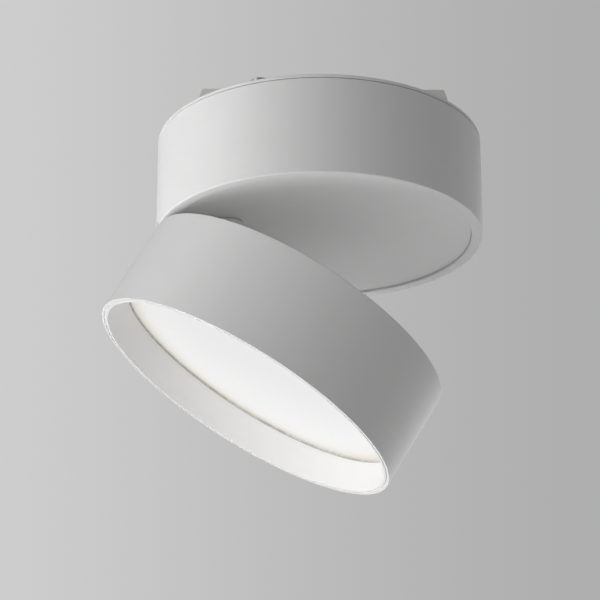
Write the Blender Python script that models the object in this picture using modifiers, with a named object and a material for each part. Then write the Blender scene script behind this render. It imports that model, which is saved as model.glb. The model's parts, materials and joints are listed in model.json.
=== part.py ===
"""Track spotlight: two equal short drums under a track adapter, hinged to each other at one edge.

Metres, +Z up. The origin is the centre of the adapter's seat, the flat face that bears on the track.
The track runs along X. The adapter plugs in, the base drum swivels under it about Z, and the LED head
opens like a clamshell about a hinge parallel to Y at the -X edge of the drums.
"""

import math

import bmesh
import bpy
from mathutils import Matrix, Vector

MM = 0.001
GAP = 0.3 * MM

# Drums
RADIUS = 73.0 * MM
DRUM_HEIGHT = 46.0 * MM
RIM_INNER = 67.8 * MM
LIP_HEIGHT = 4.0 * MM
WALL = 2.2 * MM
HEAD_WALL = 1.6 * MM
RECESS = 0.9 * MM
EDGE = 0.5 * MM
SHEET = 1.5 * MM
DRUM_STEPS = 40
PART_STEPS = 16
SCREW_STEPS = 10
KNOB_STEPS = 20

# Adapter
SEAT_Z = 0.0
ADAPTER_HEIGHT = 19.9 * MM
ADAPTER_ENDS = (-54.5 * MM, 57.5 * MM)
ADAPTER_SLOPE = 1.5 * MM
ADAPTER_SLOPE_DOWN = 4.6 * MM
ADAPTER_HALF_WIDTH = 16.5 * MM
ADAPTER_WALL = 1.8 * MM
ADAPTER_FLOOR = 2.0 * MM
TOWER_X = 27.0 * MM
TOWER_RADIUS = 5.9 * MM
KNOB_RADIUS = 17.8 * MM
KNOB_TOP = -6.0 * MM
KNOB_THICKNESS = 5.0 * MM
FLOOR_SCREWS = [(ADAPTER_ENDS[0] + 6.0 * MM, 0.0), (ADAPTER_ENDS[1] - 6.0 * MM, 0.0)]
SEAT_HALF_LENGTH = 9.0 * MM
END_SEAT_X = (37.0 * MM, 44.0 * MM)
SEAT_RISE = 0.4 * MM
EARTH_CONTACT_X = 15.3 * MM

# Swivel
STEM_RADIUS = 5.0 * MM
STEM_BORE = 3.3 * MM
STEM_HEIGHT = 11.5 * MM
FLANGE_RADIUS = 11.0 * MM
RIVET_RADIUS_AT = 8.2 * MM
STOP_RADIUS_AT = 11.0 * MM
BUSH_RADIUS = 7.0 * MM

# Base drum
BASE_TOP = -21.0 * MM
BASE_RIM = BASE_TOP - DRUM_HEIGHT
PILLAR_RADIUS = 3.5 * MM
PILLAR_RADIUS_AT = 58.0 * MM

# Hinge between the drums
CLOSED_GAP = 1.0 * MM
HINGE_X = -69.1 * MM
HINGE_Z = BASE_RIM - 0.7 * MM
REST_TILT = math.radians(30.6)
OPEN_TILT = math.radians(53.0)
KNUCKLE_RADIUS = 3.7 * MM
KNUCKLE_CLEAR = 4.0 * MM
HINGE_HALF = 12.9 * MM
HINGE_NOTCH_HALF = 14.3 * MM
PIN_RADIUS = 1.25 * MM
PIN_BORE = 1.55 * MM
MIDDLE_KNUCKLE_HALF = 4.2 * MM
OUTER_KNUCKLE_START = 5.6 * MM
LEAF = 0.8 * MM
GROMMET_X = -50.0 * MM
BASE_LEAF_SCREWS = [(-45.0 * MM, -15.0 * MM), (-45.0 * MM, 15.0 * MM)]
HEAD_LEAF_SCREWS = [(23.0 * MM, -14.0 * MM), (23.0 * MM, 14.0 * MM)]

# LED head, heights below its top plane
HEAD_TOP = BASE_RIM - CLOSED_GAP - HINGE_Z
AXIS_X = -HINGE_X
SINK_DEPTH = 18.5 * MM
SINK_RADIUS = 60.0 * MM
BOARD_DEPTH = 20.8 * MM
BOARD_THICKNESS = 1.6 * MM
DIFFUSER_DEPTH = 28.1 * MM
DIFFUSER_THICKNESS = 2.0 * MM
BAFFLE_INNER = 70.1 * MM
BAFFLE_OUTER = 71.1 * MM
BAFFLE_TOP_DEPTH = 31.4 * MM
RIM_RING = 1.0 * MM
REBATE = 0.5 * MM
BOARD_PILLAR_RADIUS_AT = 48.0 * MM
HEAD_SCREW_RADIUS_AT = 70.0 * MM
LED_COUNT = 12
LED_RING_RADIUS = 38.0 * MM


def clear_scene():
    for obj in list(bpy.data.objects):
        bpy.data.objects.remove(obj)


def new_collection(name):
    collection = bpy.data.collections.new(name)
    bpy.context.scene.collection.children.link(collection)
    return collection


def material(name, colour, roughness, metallic=0.0):
    made = bpy.data.materials.new(name)
    made.use_nodes = True
    shader = made.node_tree.nodes["Principled BSDF"]
    shader.inputs["Base Color"].default_value = (*colour, 1.0)
    shader.inputs["Roughness"].default_value = roughness
    shader.inputs["Metallic"].default_value = metallic
    return made


clear_scene()
PARTS = new_collection("track_spotlight")
CUTTERS = new_collection("cutters")

WHITE_PAINT = material("white_paint", (0.86, 0.86, 0.85), 0.45)
WHITE_PLASTIC = material("white_plastic", (0.84, 0.84, 0.82), 0.5)
OPAL = material("opal_diffuser", (0.96, 0.95, 0.91), 0.35)
BLACK_PLASTIC = material("black_plastic", (0.03, 0.03, 0.03), 0.5)
RUBBER = material("black_rubber", (0.03, 0.03, 0.03), 0.8)
GREY_RUBBER = material("grey_silicone", (0.42, 0.4, 0.37), 0.7)
STEEL = material("zinc_steel", (0.62, 0.62, 0.63), 0.35, 1.0)
ALUMINIUM = material("aluminium", (0.75, 0.76, 0.77), 0.4, 1.0)
COPPER = material("copper", (0.85, 0.48, 0.3), 0.3, 1.0)
BOARD_GREEN = material("circuit_board", (0.05, 0.22, 0.1), 0.4)
BOARD_WHITE = material("led_board_white", (0.9, 0.9, 0.88), 0.4)
CABLE_WHITE = material("cable_white", (0.8, 0.8, 0.78), 0.5)


def pivot(name, at, parent=None):
    empty = bpy.data.objects.new(name, None)
    empty.location = at
    empty.parent = parent
    PARTS.objects.link(empty)
    return empty


LATCH_AXIS = pivot("latch_axis", (-TOWER_X, 0.0, SEAT_Z))
CONTACT_AXIS = pivot("contact_axis", (TOWER_X, 0.0, SEAT_Z))
SWIVEL_AXIS = pivot("swivel_axis", (0.0, 0.0, BASE_TOP))
TILT_AXIS = pivot("tilt_axis", (HINGE_X, 0.0, HINGE_Z - BASE_TOP), SWIVEL_AXIS)
TILT_AXIS.rotation_euler.y = REST_TILT


def add(name, mesh, look, parent=None, at=(0.0, 0.0, 0.0)):
    """A sub-part, or a cutter when it has no material."""
    obj = bpy.data.objects.new(name, mesh)
    obj.location = at
    obj.parent = parent
    if look is None:
        CUTTERS.objects.link(obj)
        obj.hide_render = True
        obj.display_type = "WIRE"
    else:
        PARTS.objects.link(obj)
        mesh.materials.append(look)
    return obj


def finish_mesh(name, bm):
    mesh = bpy.data.meshes.new(name)
    bm.to_mesh(mesh)
    bm.free()
    mesh.shade_smooth()
    mesh.set_sharp_from_angle(angle=math.radians(35))
    return mesh


def turned(name, profile, look, parent=None, at=(0.0, 0.0, 0.0), steps=PART_STEPS):
    """A solid of revolution about Z. The profile is (radius, height), down the outer side."""
    bm = bmesh.new()
    points = [bm.verts.new((radius, 0.0, height)) for radius, height in profile]
    for first, second in zip(points, points[1:]):
        bm.edges.new((first, second))
    if min(radius for radius, height in profile) > 0.0:
        bm.edges.new((points[-1], points[0]))
    mesh = bpy.data.meshes.new(name)
    bm.to_mesh(mesh)
    bm.free()
    obj = add(name, mesh, look, parent, at)
    turn = obj.modifiers.new("Turn", "SCREW")
    turn.steps = steps
    turn.render_steps = steps
    turn.use_merge_vertices = True
    turn.merge_threshold = 0.00001
    return obj


def box_mesh(bm, low, high):
    centre = (Vector(low) + Vector(high)) / 2
    size = Vector(high) - Vector(low)
    matrix = Matrix.Translation(centre) @ Matrix.Diagonal((*size, 1.0))
    bmesh.ops.create_cube(bm, size=1.0, matrix=matrix)


def boxes(name, corners, look, parent=None, at=(0.0, 0.0, 0.0), bevel=0.0):
    """One object of one or more boxes, each given by its low and high corner."""
    bm = bmesh.new()
    for low, high in corners:
        box_mesh(bm, low, high)
    obj = add(name, finish_mesh(name, bm), look, parent, at)
    if bevel:
        rounding = obj.modifiers.new("Rounded edges", "BEVEL")
        rounding.width = bevel
        rounding.segments = 2
    return obj


def rods(
    name, places, radius, low, high, look=None, parent=None, axis="Z", top_radius=None, steps=PART_STEPS
):
    """One object of one or more round rods between two heights along an axis. top_radius makes cones."""
    turn = {"Z": Matrix.Identity(4), "Y": Matrix.Rotation(math.radians(-90), 4, "X")}[axis]
    bm = bmesh.new()
    for x, y in places:
        if axis == "Z":
            centre = Vector((x, y, (low + high) / 2))
        else:
            centre = Vector((x, (low + high) / 2, y))
        bmesh.ops.create_cone(
            bm,
            cap_ends=True,
            segments=steps,
            radius1=radius,
            radius2=radius if top_radius is None else top_radius,
            depth=high - low,
            matrix=Matrix.Translation(centre) @ turn,
        )
    return add(name, finish_mesh(name, bm), look, parent)


def arc(centre, radius, start, end, count=5):
    """Points on an arc, its angles in degrees."""
    angles = [math.radians(start + (end - start) * i / (count - 1)) for i in range(count)]
    return [(centre[0] + radius * math.cos(a), centre[1] + radius * math.sin(a)) for a in angles]


def plate(name, outline, thickness, look, parent=None, at=(0.0, 0.0, 0.0), upright=False):
    """A flat outline of the given thickness, centred on its plane. Upright plates stand in XZ."""
    curve = bpy.data.curves.new(name, "CURVE")
    curve.dimensions = "2D"
    curve.fill_mode = "BOTH"
    curve.extrude = thickness / 2
    spline = curve.splines.new("POLY")
    spline.points.add(len(outline) - 1)
    for point, (x, y) in zip(spline.points, outline):
        point.co = (x, y, 0.0, 1.0)
    spline.use_cyclic_u = True
    source = bpy.data.objects.new(name + "_outline", curve)
    CUTTERS.objects.link(source)
    bpy.context.view_layer.update()
    mesh = bpy.data.meshes.new_from_object(source.evaluated_get(bpy.context.evaluated_depsgraph_get()))
    bpy.data.objects.remove(source)
    bm = bmesh.new()
    bm.from_mesh(mesh)
    bmesh.ops.remove_doubles(bm, verts=bm.verts, dist=0.000001)
    if upright:
        bmesh.ops.rotate(bm, verts=bm.verts, matrix=Matrix.Rotation(math.radians(90), 3, "X"))
    bmesh.ops.recalc_face_normals(bm, faces=bm.faces)
    bpy.data.meshes.remove(mesh)
    return add(name, finish_mesh(name, bm), look, parent, at)


def smooth_route(points, per_span=3):
    """Points on a smooth curve through the route's own points (Catmull-Rom)."""
    route = [Vector(p) for p in points]
    padded = [2 * route[0] - route[1], *route, 2 * route[-1] - route[-2]]
    out = []
    for i in range(len(route) - 1):
        a, b, c, d = padded[i : i + 4]
        for step in range(per_span):
            t = step / per_span
            bend, twist = 2 * a - 5 * b + 4 * c - d, 3 * b - a - 3 * c + d
            out.append(0.5 * (2 * b + (c - a) * t + bend * t**2 + twist * t**3))
    return out + [route[-1]]


def lead(name, points, radius, look, parent=None):
    curve = bpy.data.curves.new(name, "CURVE")
    curve.dimensions = "3D"
    curve.bevel_depth = radius
    curve.bevel_resolution = 2
    curve.use_fill_caps = True
    route = smooth_route(points)
    spline = curve.splines.new("POLY")
    spline.points.add(len(route) - 1)
    for point, place in zip(spline.points, route):
        point.co = (*place, 1.0)
    curve.materials.append(look)
    obj = bpy.data.objects.new(name, curve)
    obj.parent = parent
    PARTS.objects.link(obj)
    return obj


def combine(obj, other, operation, solver="EXACT"):
    boolean = obj.modifiers.new(operation.title() + " " + other.name, "BOOLEAN")
    boolean.solver = solver
    boolean.operation = operation
    boolean.object = other


def cut(obj, *cutters, solver="EXACT"):
    for cutter in cutters:
        combine(obj, cutter, "DIFFERENCE", solver)


def ring_places(count, radius, start=0.0, centre_x=0.0):
    angles = [math.radians(start) + 2 * math.pi * i / count for i in range(count)]
    return [(centre_x + radius * math.cos(a), radius * math.sin(a)) for a in angles]


# ---- Adapter -------------------------------------------------------------------------------------


def adapter_housing():
    """A box open at the bottom, its top ends sloped, with holes for the two towers and slots for the knobs.
    Three low lands across its top bear on the track."""
    low, top, shoulder = -ADAPTER_HEIGHT, SEAT_Z - SEAT_RISE, -ADAPTER_SLOPE_DOWN
    left, right = ADAPTER_ENDS
    near, far = END_SEAT_X
    lands = [(far, top), (far, SEAT_Z), (near, SEAT_Z), (near, top)]
    lands += [(SEAT_HALF_LENGTH, top), (SEAT_HALF_LENGTH, SEAT_Z)]
    side = [(right, low), (right, shoulder), (right - ADAPTER_SLOPE, top), *lands]
    side += [(-x, z) for x, z in reversed(lands)]
    side += [(left + ADAPTER_SLOPE, top), (left, shoulder), (left, low)]
    housing = plate("adapter_housing", side, 2 * ADAPTER_HALF_WIDTH, WHITE_PLASTIC, upright=True)
    inset = ADAPTER_WALL + ADAPTER_SLOPE
    inner_y = ADAPTER_HALF_WIDTH - ADAPTER_WALL
    inside = boxes(
        "adapter_inside",
        [((left + inset, -inner_y, low - MM), (right - inset, inner_y, -ADAPTER_WALL))],
        None,
    )
    tower_places = [(-TOWER_X, 0.0), (TOWER_X, 0.0)]
    towers = rods("tower_holes", tower_places, TOWER_RADIUS + GAP, -5 * MM, 5 * MM)
    reach = math.sqrt(KNOB_RADIUS**2 - inner_y**2) + 0.6 * MM
    slot_y = ADAPTER_HALF_WIDTH + MM
    knob_low = KNOB_TOP - KNOB_THICKNESS
    slots = boxes(
        "knob_slots",
        [
            ((x - reach, -slot_y, knob_low - 0.4 * MM), (x + reach, slot_y, KNOB_TOP + 0.4 * MM))
            for x in (-TOWER_X, TOWER_X)
        ],
        None,
    )
    boss_low = low + ADAPTER_FLOOR + GAP
    bosses = rods("floor_screw_bosses", FLOOR_SCREWS, 3.0 * MM, boss_low, -1.2 * MM)
    holes = rods("floor_screw_holes", FLOOR_SCREWS, 1.4 * MM, low - MM, MM)
    sink_low, sink_top = -2.1 * MM, -0.2 * MM
    sinks = rods("floor_screw_sinks", FLOOR_SCREWS, 1.2 * MM, sink_low, sink_top, top_radius=3.0 * MM)
    cut(housing, inside, towers, slots)
    combine(housing, bosses, "UNION")
    cut(housing, holes, sinks)


def adapter_floor():
    inset = ADAPTER_WALL + ADAPTER_SLOPE + GAP
    half_y = ADAPTER_HALF_WIDTH - ADAPTER_WALL - GAP
    low, top = -ADAPTER_HEIGHT, -ADAPTER_HEIGHT + ADAPTER_FLOOR
    slab = ((ADAPTER_ENDS[0] + inset, -half_y, low), (ADAPTER_ENDS[1] - inset, half_y, top))
    floor = boxes("adapter_floor", [slab], WHITE_PLASTIC)
    through = (low - MM, top + MM)
    cut(floor, rods("floor_thread_holes", FLOOR_SCREWS, 1.3 * MM, *through))
    cut(floor, rods("bush_hole", [(0.0, 0.0)], BUSH_RADIUS + GAP, *through))
    cut(floor, rods("stop_pin_hole", [(-STOP_RADIUS_AT, 0.0)], 1.3 * MM, *through))


def adapter_fasteners():
    tip = GAP - ADAPTER_HEIGHT
    radius = 1.0 * MM
    for number, (x, y) in enumerate(FLOOR_SCREWS, 1):
        profile = scaled([(0.0, -0.7), (2.2, -0.7), (1.0, -2.0)]) + [(radius, tip), (0.0, tip)]
        turned(f"floor_screw_{number}", profile, STEEL, at=(x, y, 0.0), steps=SCREW_STEPS)
    top = tip + 5.6 * MM
    profile = [(0.0, top), (radius, top), (radius, tip), (0.0, tip)]
    turned("stop_pin", profile, STEEL, at=(-STOP_RADIUS_AT, 0.0, 0.0))


def scaled(profile):
    """A profile given in millimetres, in metres."""
    return [(radius * MM, height * MM) for radius, height in profile]


def adapter_wiring():
    block = ((-6 * MM, -8 * MM, -8 * MM), (6 * MM, 8 * MM, -2.1 * MM))
    boxes("adapter_terminal", [block], BLACK_PLASTIC, bevel=0.4 * MM)
    for name, side in (("live_lead", 1), ("neutral_lead", -1)):
        route = [(6.4, 5.0 * side, -4.4), (11.0, 5.0 * side, -3.9)]
        route += [(16.0, 3.8 * side, -3.8), (20.4, 3.0 * side, -3.8)]
        lead(name, [Vector(p) * MM for p in route], 0.8 * MM, CABLE_WHITE)
    foot = [(-4.0, 0.35), (4.0, 0.35)]
    arms = [(5.2, 3.6), (4.4, 3.9), (3.4, 1.15), (-3.4, 1.15), (-4.4, 3.9), (-5.2, 3.6)]
    plate(
        "earth_contact",
        scaled(foot + arms),
        4.0 * MM,
        COPPER,
        at=(EARTH_CONTACT_X, 0.0, -SEAT_RISE),
        upright=True,
    )


def knob_profile(top):
    """A thumb wheel on a shaft: the tower stands in the track's slot, the foot turns on the floor."""
    wheel_low = KNOB_TOP - KNOB_THICKNESS
    foot = -ADAPTER_HEIGHT + ADAPTER_FLOOR + GAP
    chamfer = 0.8 * MM
    return [
        (0.0, top),
        (TOWER_RADIUS, top),
        (TOWER_RADIUS, KNOB_TOP),
        (KNOB_RADIUS - chamfer, KNOB_TOP),
        (KNOB_RADIUS, KNOB_TOP - chamfer),
        (KNOB_RADIUS, wheel_low + chamfer),
        (KNOB_RADIUS - chamfer, wheel_low),
        (4.0 * MM, wheel_low),
        (4.0 * MM, foot),
        (0.0, foot),
    ]


def latch():
    knob = turned("latch_knob", knob_profile(5.0 * MM), WHITE_PLASTIC, LATCH_AXIS, steps=KNOB_STEPS)
    centre = [(0.0, 0.0)]
    cut(knob, rods("latch_screw_hole", centre, 1.5 * MM, -3.0 * MM, 6.0 * MM, parent=LATCH_AXIS))
    end = 8.0 * MM
    outline = arc((0.0, end), 4.0 * MM, 0, 180, 9) + arc((0.0, -end), 4.0 * MM, 180, 360, 9)
    lug = plate("latch_lug", outline, 2.4 * MM, STEEL, LATCH_AXIS, at=(0.0, 0.0, 6.6 * MM))
    cut(lug, rods("lug_hole", centre, 1.6 * MM, 4.0 * MM, 9.0 * MM, parent=LATCH_AXIS))
    profile = [(0.0, 9.1), (2.2, 9.1), (2.6, 8.9), (2.6, 8.1), (1.2, 8.1), (1.2, -2.5), (0.0, -2.5)]
    turned("latch_screw", scaled(profile), STEEL, LATCH_AXIS, steps=SCREW_STEPS)


def contact_tower():
    turned("contact_knob", knob_profile(9.0 * MM), BLACK_PLASTIC, CONTACT_AXIS, steps=KNOB_STEPS)
    for name, side in (("live_contact", 1), ("neutral_contact", -1)):
        inner = TOWER_RADIUS + GAP
        half, strip, tip = 1.6 * MM, 0.9 * MM, 12.3 * MM
        leg_low, blade_low, leg_top = 3.5 * MM, 6.0 * MM, 8.5 * MM
        leg = ((-half, inner, leg_low), (half, inner + strip, leg_top))
        blade = ((-half, inner, blade_low), (half, tip, blade_low + strip))
        contact = boxes(name, [leg], COPPER, CONTACT_AXIS)
        combine(contact, boxes(name + "_blade", [blade], None, CONTACT_AXIS), "UNION")
        if side < 0:
            contact.rotation_euler.z = math.pi
            CUTTERS.objects[name + "_blade"].rotation_euler.z = math.pi


# ---- Swivel --------------------------------------------------------------------------------------


def swivel():
    bush_top, flange_top, flange_low = ADAPTER_FLOOR + GAP, -GAP, BASE_TOP + ADAPTER_HEIGHT + GAP
    bore, flange = STEM_RADIUS + GAP, 10.0 * MM
    bush = [(BUSH_RADIUS, bush_top), (BUSH_RADIUS, flange_top), (flange, flange_top)]
    bush += [(flange, flange_low), (bore, flange_low), (bore, bush_top)]
    turned("swivel_bush", bush, BLACK_PLASTIC, at=(0.0, 0.0, -ADAPTER_HEIGHT))
    stem = [
        (STEM_RADIUS, STEM_HEIGHT),
        (STEM_RADIUS, -1.8 * MM),
        (FLANGE_RADIUS, -1.8 * MM),
        (FLANGE_RADIUS, -3.8 * MM),
        (STEM_BORE, -3.8 * MM),
        (STEM_BORE, STEM_HEIGHT),
    ]
    made = turned("swivel_stem", stem, STEEL, SWIVEL_AXIS)
    rivets = ring_places(2, RIVET_RADIUS_AT, 90)
    holes = rods(
        "stem_rivet_holes", rivets, 1.5 * MM, -5 * MM, -MM, parent=SWIVEL_AXIS, steps=SCREW_STEPS
    )
    cut(made, holes)
    rivet = scaled([(0, -0.2), (1.9, -0.2), (1.2, -1.0), (1.2, -4.1), (2.0, -4.1), (2.0, -4.8), (0, -4.8)])
    for number, (x, y) in enumerate(rivets, 1):
        turned(f"stem_rivet_{number}", rivet, STEEL, SWIVEL_AXIS, at=(x, y, 0.0), steps=SCREW_STEPS)
    washer = scaled([(8.4, 4.7), (8.4, 3.7), (5.3, 3.7), (5.3, 4.7)])
    stop = turned("stop_washer", washer, STEEL, SWIVEL_AXIS)
    tab_half = 1.25 * MM
    tab = [((7.0 * MM, -tab_half, 3.7 * MM), (12.6 * MM, tab_half, 4.7 * MM))]
    combine(stop, boxes("stop_tab", tab, None, SWIVEL_AXIS), "UNION")
    wave = [(8.2, 5.8), (8.2, 5.0), (5.3, 5.0), (5.3, 5.8)]
    turned("spring_washer", scaled(wave), STEEL, SWIVEL_AXIS)
    nut = rods("stem_nut", [(0.0, 0.0)], 8.0 * MM, 6.1 * MM, 10.1 * MM, STEEL, SWIVEL_AXIS, steps=6)
    cut(nut, rods("nut_bore", [(0.0, 0.0)], STEM_RADIUS + GAP, 5 * MM, 12 * MM, None, SWIVEL_AXIS))


# ---- Base drum -----------------------------------------------------------------------------------


def below_base_top(profile):
    """Profile points of (radius, depth below the drum's top) as (radius, height) on the swivel axis."""
    return [(radius, -depth) for radius, depth in profile]


def base_cover():
    lid, spigot = SHEET, 2.0 * MM
    outer = RADIUS - WALL - 0.5 * MM
    profile = [
        (RADIUS - EDGE, 0.0),
        (RADIUS, EDGE),
        (RADIUS, lid),
        (outer, lid),
        (outer, lid + spigot),
        (outer - 1.4 * MM, lid + spigot),
        (outer - 1.4 * MM, lid),
        (STEM_RADIUS + GAP, lid),
        (STEM_RADIUS + GAP, 0.0),
    ]
    cover = turned("base_cover", below_base_top(profile), WHITE_PAINT, SWIVEL_AXIS, steps=DRUM_STEPS)
    pillars = ring_places(3, PILLAR_RADIUS_AT)
    rivets = ring_places(2, RIVET_RADIUS_AT, 90)
    cutters = []
    for kind, places, hole, sink_low, narrow, wide in (
        ("screw", pillars, 1.8, -1.3, 1.5, 3.3),
        ("rivet", rivets, 1.5, -1.1, 1.3, 2.6),
    ):
        through = (hole * MM, -3 * MM, MM)
        sink = (narrow * MM, sink_low * MM, 0.2 * MM)
        cutters += [
            rods(f"cover_{kind}_holes", places, *through, None, SWIVEL_AXIS, steps=SCREW_STEPS),
            rods(f"cover_{kind}_sinks", places, *sink, None, SWIVEL_AXIS, "Z", wide * MM, SCREW_STEPS),
        ]
    cut(cover, *cutters, solver="MANIFOLD")
    screw = scaled([(0.0, -0.2), (2.4, -0.2), (1.2, -1.4), (1.2, -13.0), (0.0, -13.0)])
    for number, (x, y) in enumerate(pillars, 1):
        turned(f"cover_screw_{number}", screw, STEEL, SWIVEL_AXIS, at=(x, y, 0.0), steps=SCREW_STEPS)


def hinge_clearance(name, parent, at, lip_side):
    """Cutters that clear the hinge barrel out of a drum's rim, and relieve the rim beyond the hinge line."""
    x, z = at
    half = HINGE_NOTCH_HALF
    barrel = rods(name + "_barrel", [at], KNUCKLE_CLEAR, -half, half, None, parent, "Y")
    low, high = sorted((-0.2 * MM * lip_side, 2.4 * MM * lip_side))
    neck_half = half if lip_side > 0 else OUTER_KNUCKLE_START
    neck = boxes(
        name + "_neck",
        [((x - 5 * MM, -neck_half, z + low), (x + 6 * MM, neck_half, z + high))],
        None,
        parent,
    )
    reach = 6.0 * MM
    rise = reach * math.tan(OPEN_TILT / 2 + math.radians(0.5)) * lip_side
    wedge = [(x, z), (x - reach, z + rise), (x - reach, z - 3 * MM * lip_side), (x, z - 3 * MM * lip_side)]
    relief = plate(name + "_relief", wedge, 60 * MM, None, parent, upright=True)
    return barrel, neck, relief


def base_shell():
    seam, depth = SHEET + GAP, DRUM_HEIGHT
    inner = RADIUS - WALL
    profile = [
        (RADIUS - GAP, seam),
        (RADIUS, seam + GAP),
        (RADIUS, depth - EDGE),
        (RADIUS - EDGE, depth),
        (RIM_INNER + EDGE, depth),
        (RIM_INNER, depth - EDGE),
        (RIM_INNER, depth - LIP_HEIGHT),
        (inner, depth - LIP_HEIGHT),
        (inner, seam),
    ]
    shell = turned("base_shell", below_base_top(profile), WHITE_PAINT, SWIVEL_AXIS, steps=DRUM_STEPS)
    cut(shell, *hinge_clearance("base_hinge", SWIVEL_AXIS, (HINGE_X, HINGE_Z - BASE_TOP), 1))


def base_plate():
    """The recessed underside, with three screw pillars that reach up to the cover."""
    face = DRUM_HEIGHT - RECESS
    flange = DRUM_HEIGHT - LIP_HEIGHT - GAP
    disc, inner = RIM_INNER - GAP, 66.0 * MM
    rim = RADIUS - WALL - 0.4 * MM
    profile = [
        (0.0, face - SHEET),
        (inner, face - SHEET),
        (inner, flange - SHEET),
        (rim, flange - SHEET),
        (rim, flange),
        (disc, flange),
        (disc, face - GAP),
        (disc - GAP, face),
        (0.0, face),
    ]
    made = turned("base_plate", below_base_top(profile), WHITE_PAINT, SWIVEL_AXIS, steps=DRUM_STEPS)
    pillars = ring_places(3, PILLAR_RADIUS_AT)
    low, top = SHEET / 2 - face, -SHEET - GAP
    bore, through = 1.6 * MM, (-50 * MM, -40 * MM)
    combine(made, rods("cover_pillars", pillars, PILLAR_RADIUS, low, top, parent=SWIVEL_AXIS), "UNION")
    cut(
        made,
        rods("pillar_bores", pillars, bore, -16 * MM, top + MM, None, SWIVEL_AXIS, steps=SCREW_STEPS),
        rods("base_leaf_holes", BASE_LEAF_SCREWS, bore, *through, None, SWIVEL_AXIS, steps=SCREW_STEPS),
        rods("base_grommet_hole", [(GROMMET_X, 0.0)], 3.8 * MM, *through, None, SWIVEL_AXIS),
    )
    knuckle = rods(
        "base_plate_knuckle",
        [(HINGE_X, HINGE_Z - BASE_TOP)],
        KNUCKLE_CLEAR,
        -HINGE_NOTCH_HALF,
        HINGE_NOTCH_HALF,
        None,
        SWIVEL_AXIS,
        "Y",
    )
    cut(made, knuckle)


def driver():
    """Insulating tray, circuit board and its parts, on the base plate."""
    floor = -(DRUM_HEIGHT - RECESS - SHEET) + GAP
    low_x, high_x, half_y = -38 * MM, 46 * MM, 25 * MM
    wall = 1.5 * MM
    outside = ((low_x, -half_y, floor), (high_x, half_y, floor + 12 * MM))
    tray = boxes("driver_tray", [outside], BLACK_PLASTIC)
    inside = ((low_x + wall, wall - half_y, floor + wall), (high_x - wall, half_y - wall, floor + 13 * MM))
    cut(tray, boxes("tray_inside", [inside], None, SWIVEL_AXIS))
    rail_top = floor + 4.2 * MM
    rails = [
        ((low_x + 10 * MM, side - 1.5 * MM, floor + wall / 2), (high_x - 10 * MM, side + 1.5 * MM, rail_top))
        for side in (-15 * MM, 15 * MM)
    ]
    combine(tray, boxes("tray_rails", rails, None, SWIVEL_AXIS), "UNION")
    tray.parent = SWIVEL_AXIS
    board_low = rail_top + GAP
    board_top = board_low + 1.6 * MM
    edge = wall + 0.6 * MM
    boxes(
        "driver_board",
        [((low_x + edge, edge - half_y, board_low), (high_x - edge, half_y - edge, board_top))],
        BOARD_GREEN,
        SWIVEL_AXIS,
    )
    seat = board_top + GAP
    boxes(
        "transformer",
        [((-11 * MM, -11 * MM, seat), (13 * MM, 11 * MM, seat + 17 * MM))],
        BLACK_PLASTIC,
        SWIVEL_AXIS,
        bevel=1.2 * MM,
    )
    for number, (x, y) in enumerate([(-25.0, 9.0), (-25.0, -9.0)], 1):
        can = [(0.0, 15.0), (4.6, 15.0), (5.0, 14.6), (5.0, 0.0), (0.0, 0.0)]
        place = (x * MM, y * MM, seat)
        turned(f"capacitor_{number}", scaled(can), BLACK_PLASTIC, SWIVEL_AXIS, at=place, steps=PART_STEPS)
    block = ((28 * MM, -7 * MM, seat), (42 * MM, 7 * MM, seat + 9 * MM))
    boxes("supply_terminal", [block], WHITE_PLASTIC, SWIVEL_AXIS, bevel=0.4 * MM)
    top = STEM_HEIGHT + MM
    drop = seat + 9.3 * MM
    route = [
        (0.0, 0.0, top),
        (0.0, 0.0, 0.0),
        (0.0, 0.0, -4 * MM),
        (2.5 * MM, 0.0, -9 * MM),
        (14 * MM, 0.0, -14 * MM),
        (27 * MM, 0.0, -16 * MM),
        (34 * MM, 0.0, -21 * MM),
        (35 * MM, 0.0, drop),
    ]
    lead("supply_lead", route, 2.5 * MM, CABLE_WHITE, SWIVEL_AXIS)


def grommet(name, parent, x, face, side):
    """A rubber ring in a plate. side is +1 when its flange lies above the plate's far face."""
    far = face + side * (SHEET + GAP)
    near = face - side * RECESS
    flange = far + side * MM
    ring = [(3.5 * MM, near), (3.5 * MM, far), (5.2 * MM, far), (5.2 * MM, flange)]
    ring += [(2.0 * MM, flange), (2.0 * MM, near)]
    if side > 0:
        ring.reverse()
    turned(name, ring, RUBBER, parent, at=(x, 0.0, 0.0))


# ---- Hinge ---------------------------------------------------------------------------------------


def leaf_screw(name, parent, at, face, side):
    """Countersunk screw, its head just inside the leaf's outer face."""
    tip = face + side * 5.0 * MM
    head, shank = 2.1 * MM, 1.1 * MM
    profile = [(0.0, face), (head, face), (shank, face + side * 0.9 * MM), (shank, tip), (0.0, tip)]
    if side > 0:
        profile.reverse()
    turned(name, profile, STEEL, parent, at=(*at, 0.0), steps=SCREW_STEPS)


def screw_holes(name, places, parent, face, side):
    """Cutters for countersunk holes that open at the leaf's outer face."""
    reach = 3 * MM
    through = rods(
        name + "_holes", places, 1.5 * MM, face - reach, face + reach, None, parent, steps=SCREW_STEPS
    )
    low, high = sorted((face - side * 0.2 * MM, face + side * 1.1 * MM))
    wide, thin = 2.9 * MM, 1.3 * MM
    bottom, top = (wide, thin) if side > 0 else (thin, wide)
    sinks = rods(name + "_sinks", places, bottom, low, high, None, parent, "Z", top, SCREW_STEPS)
    return through, sinks


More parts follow.
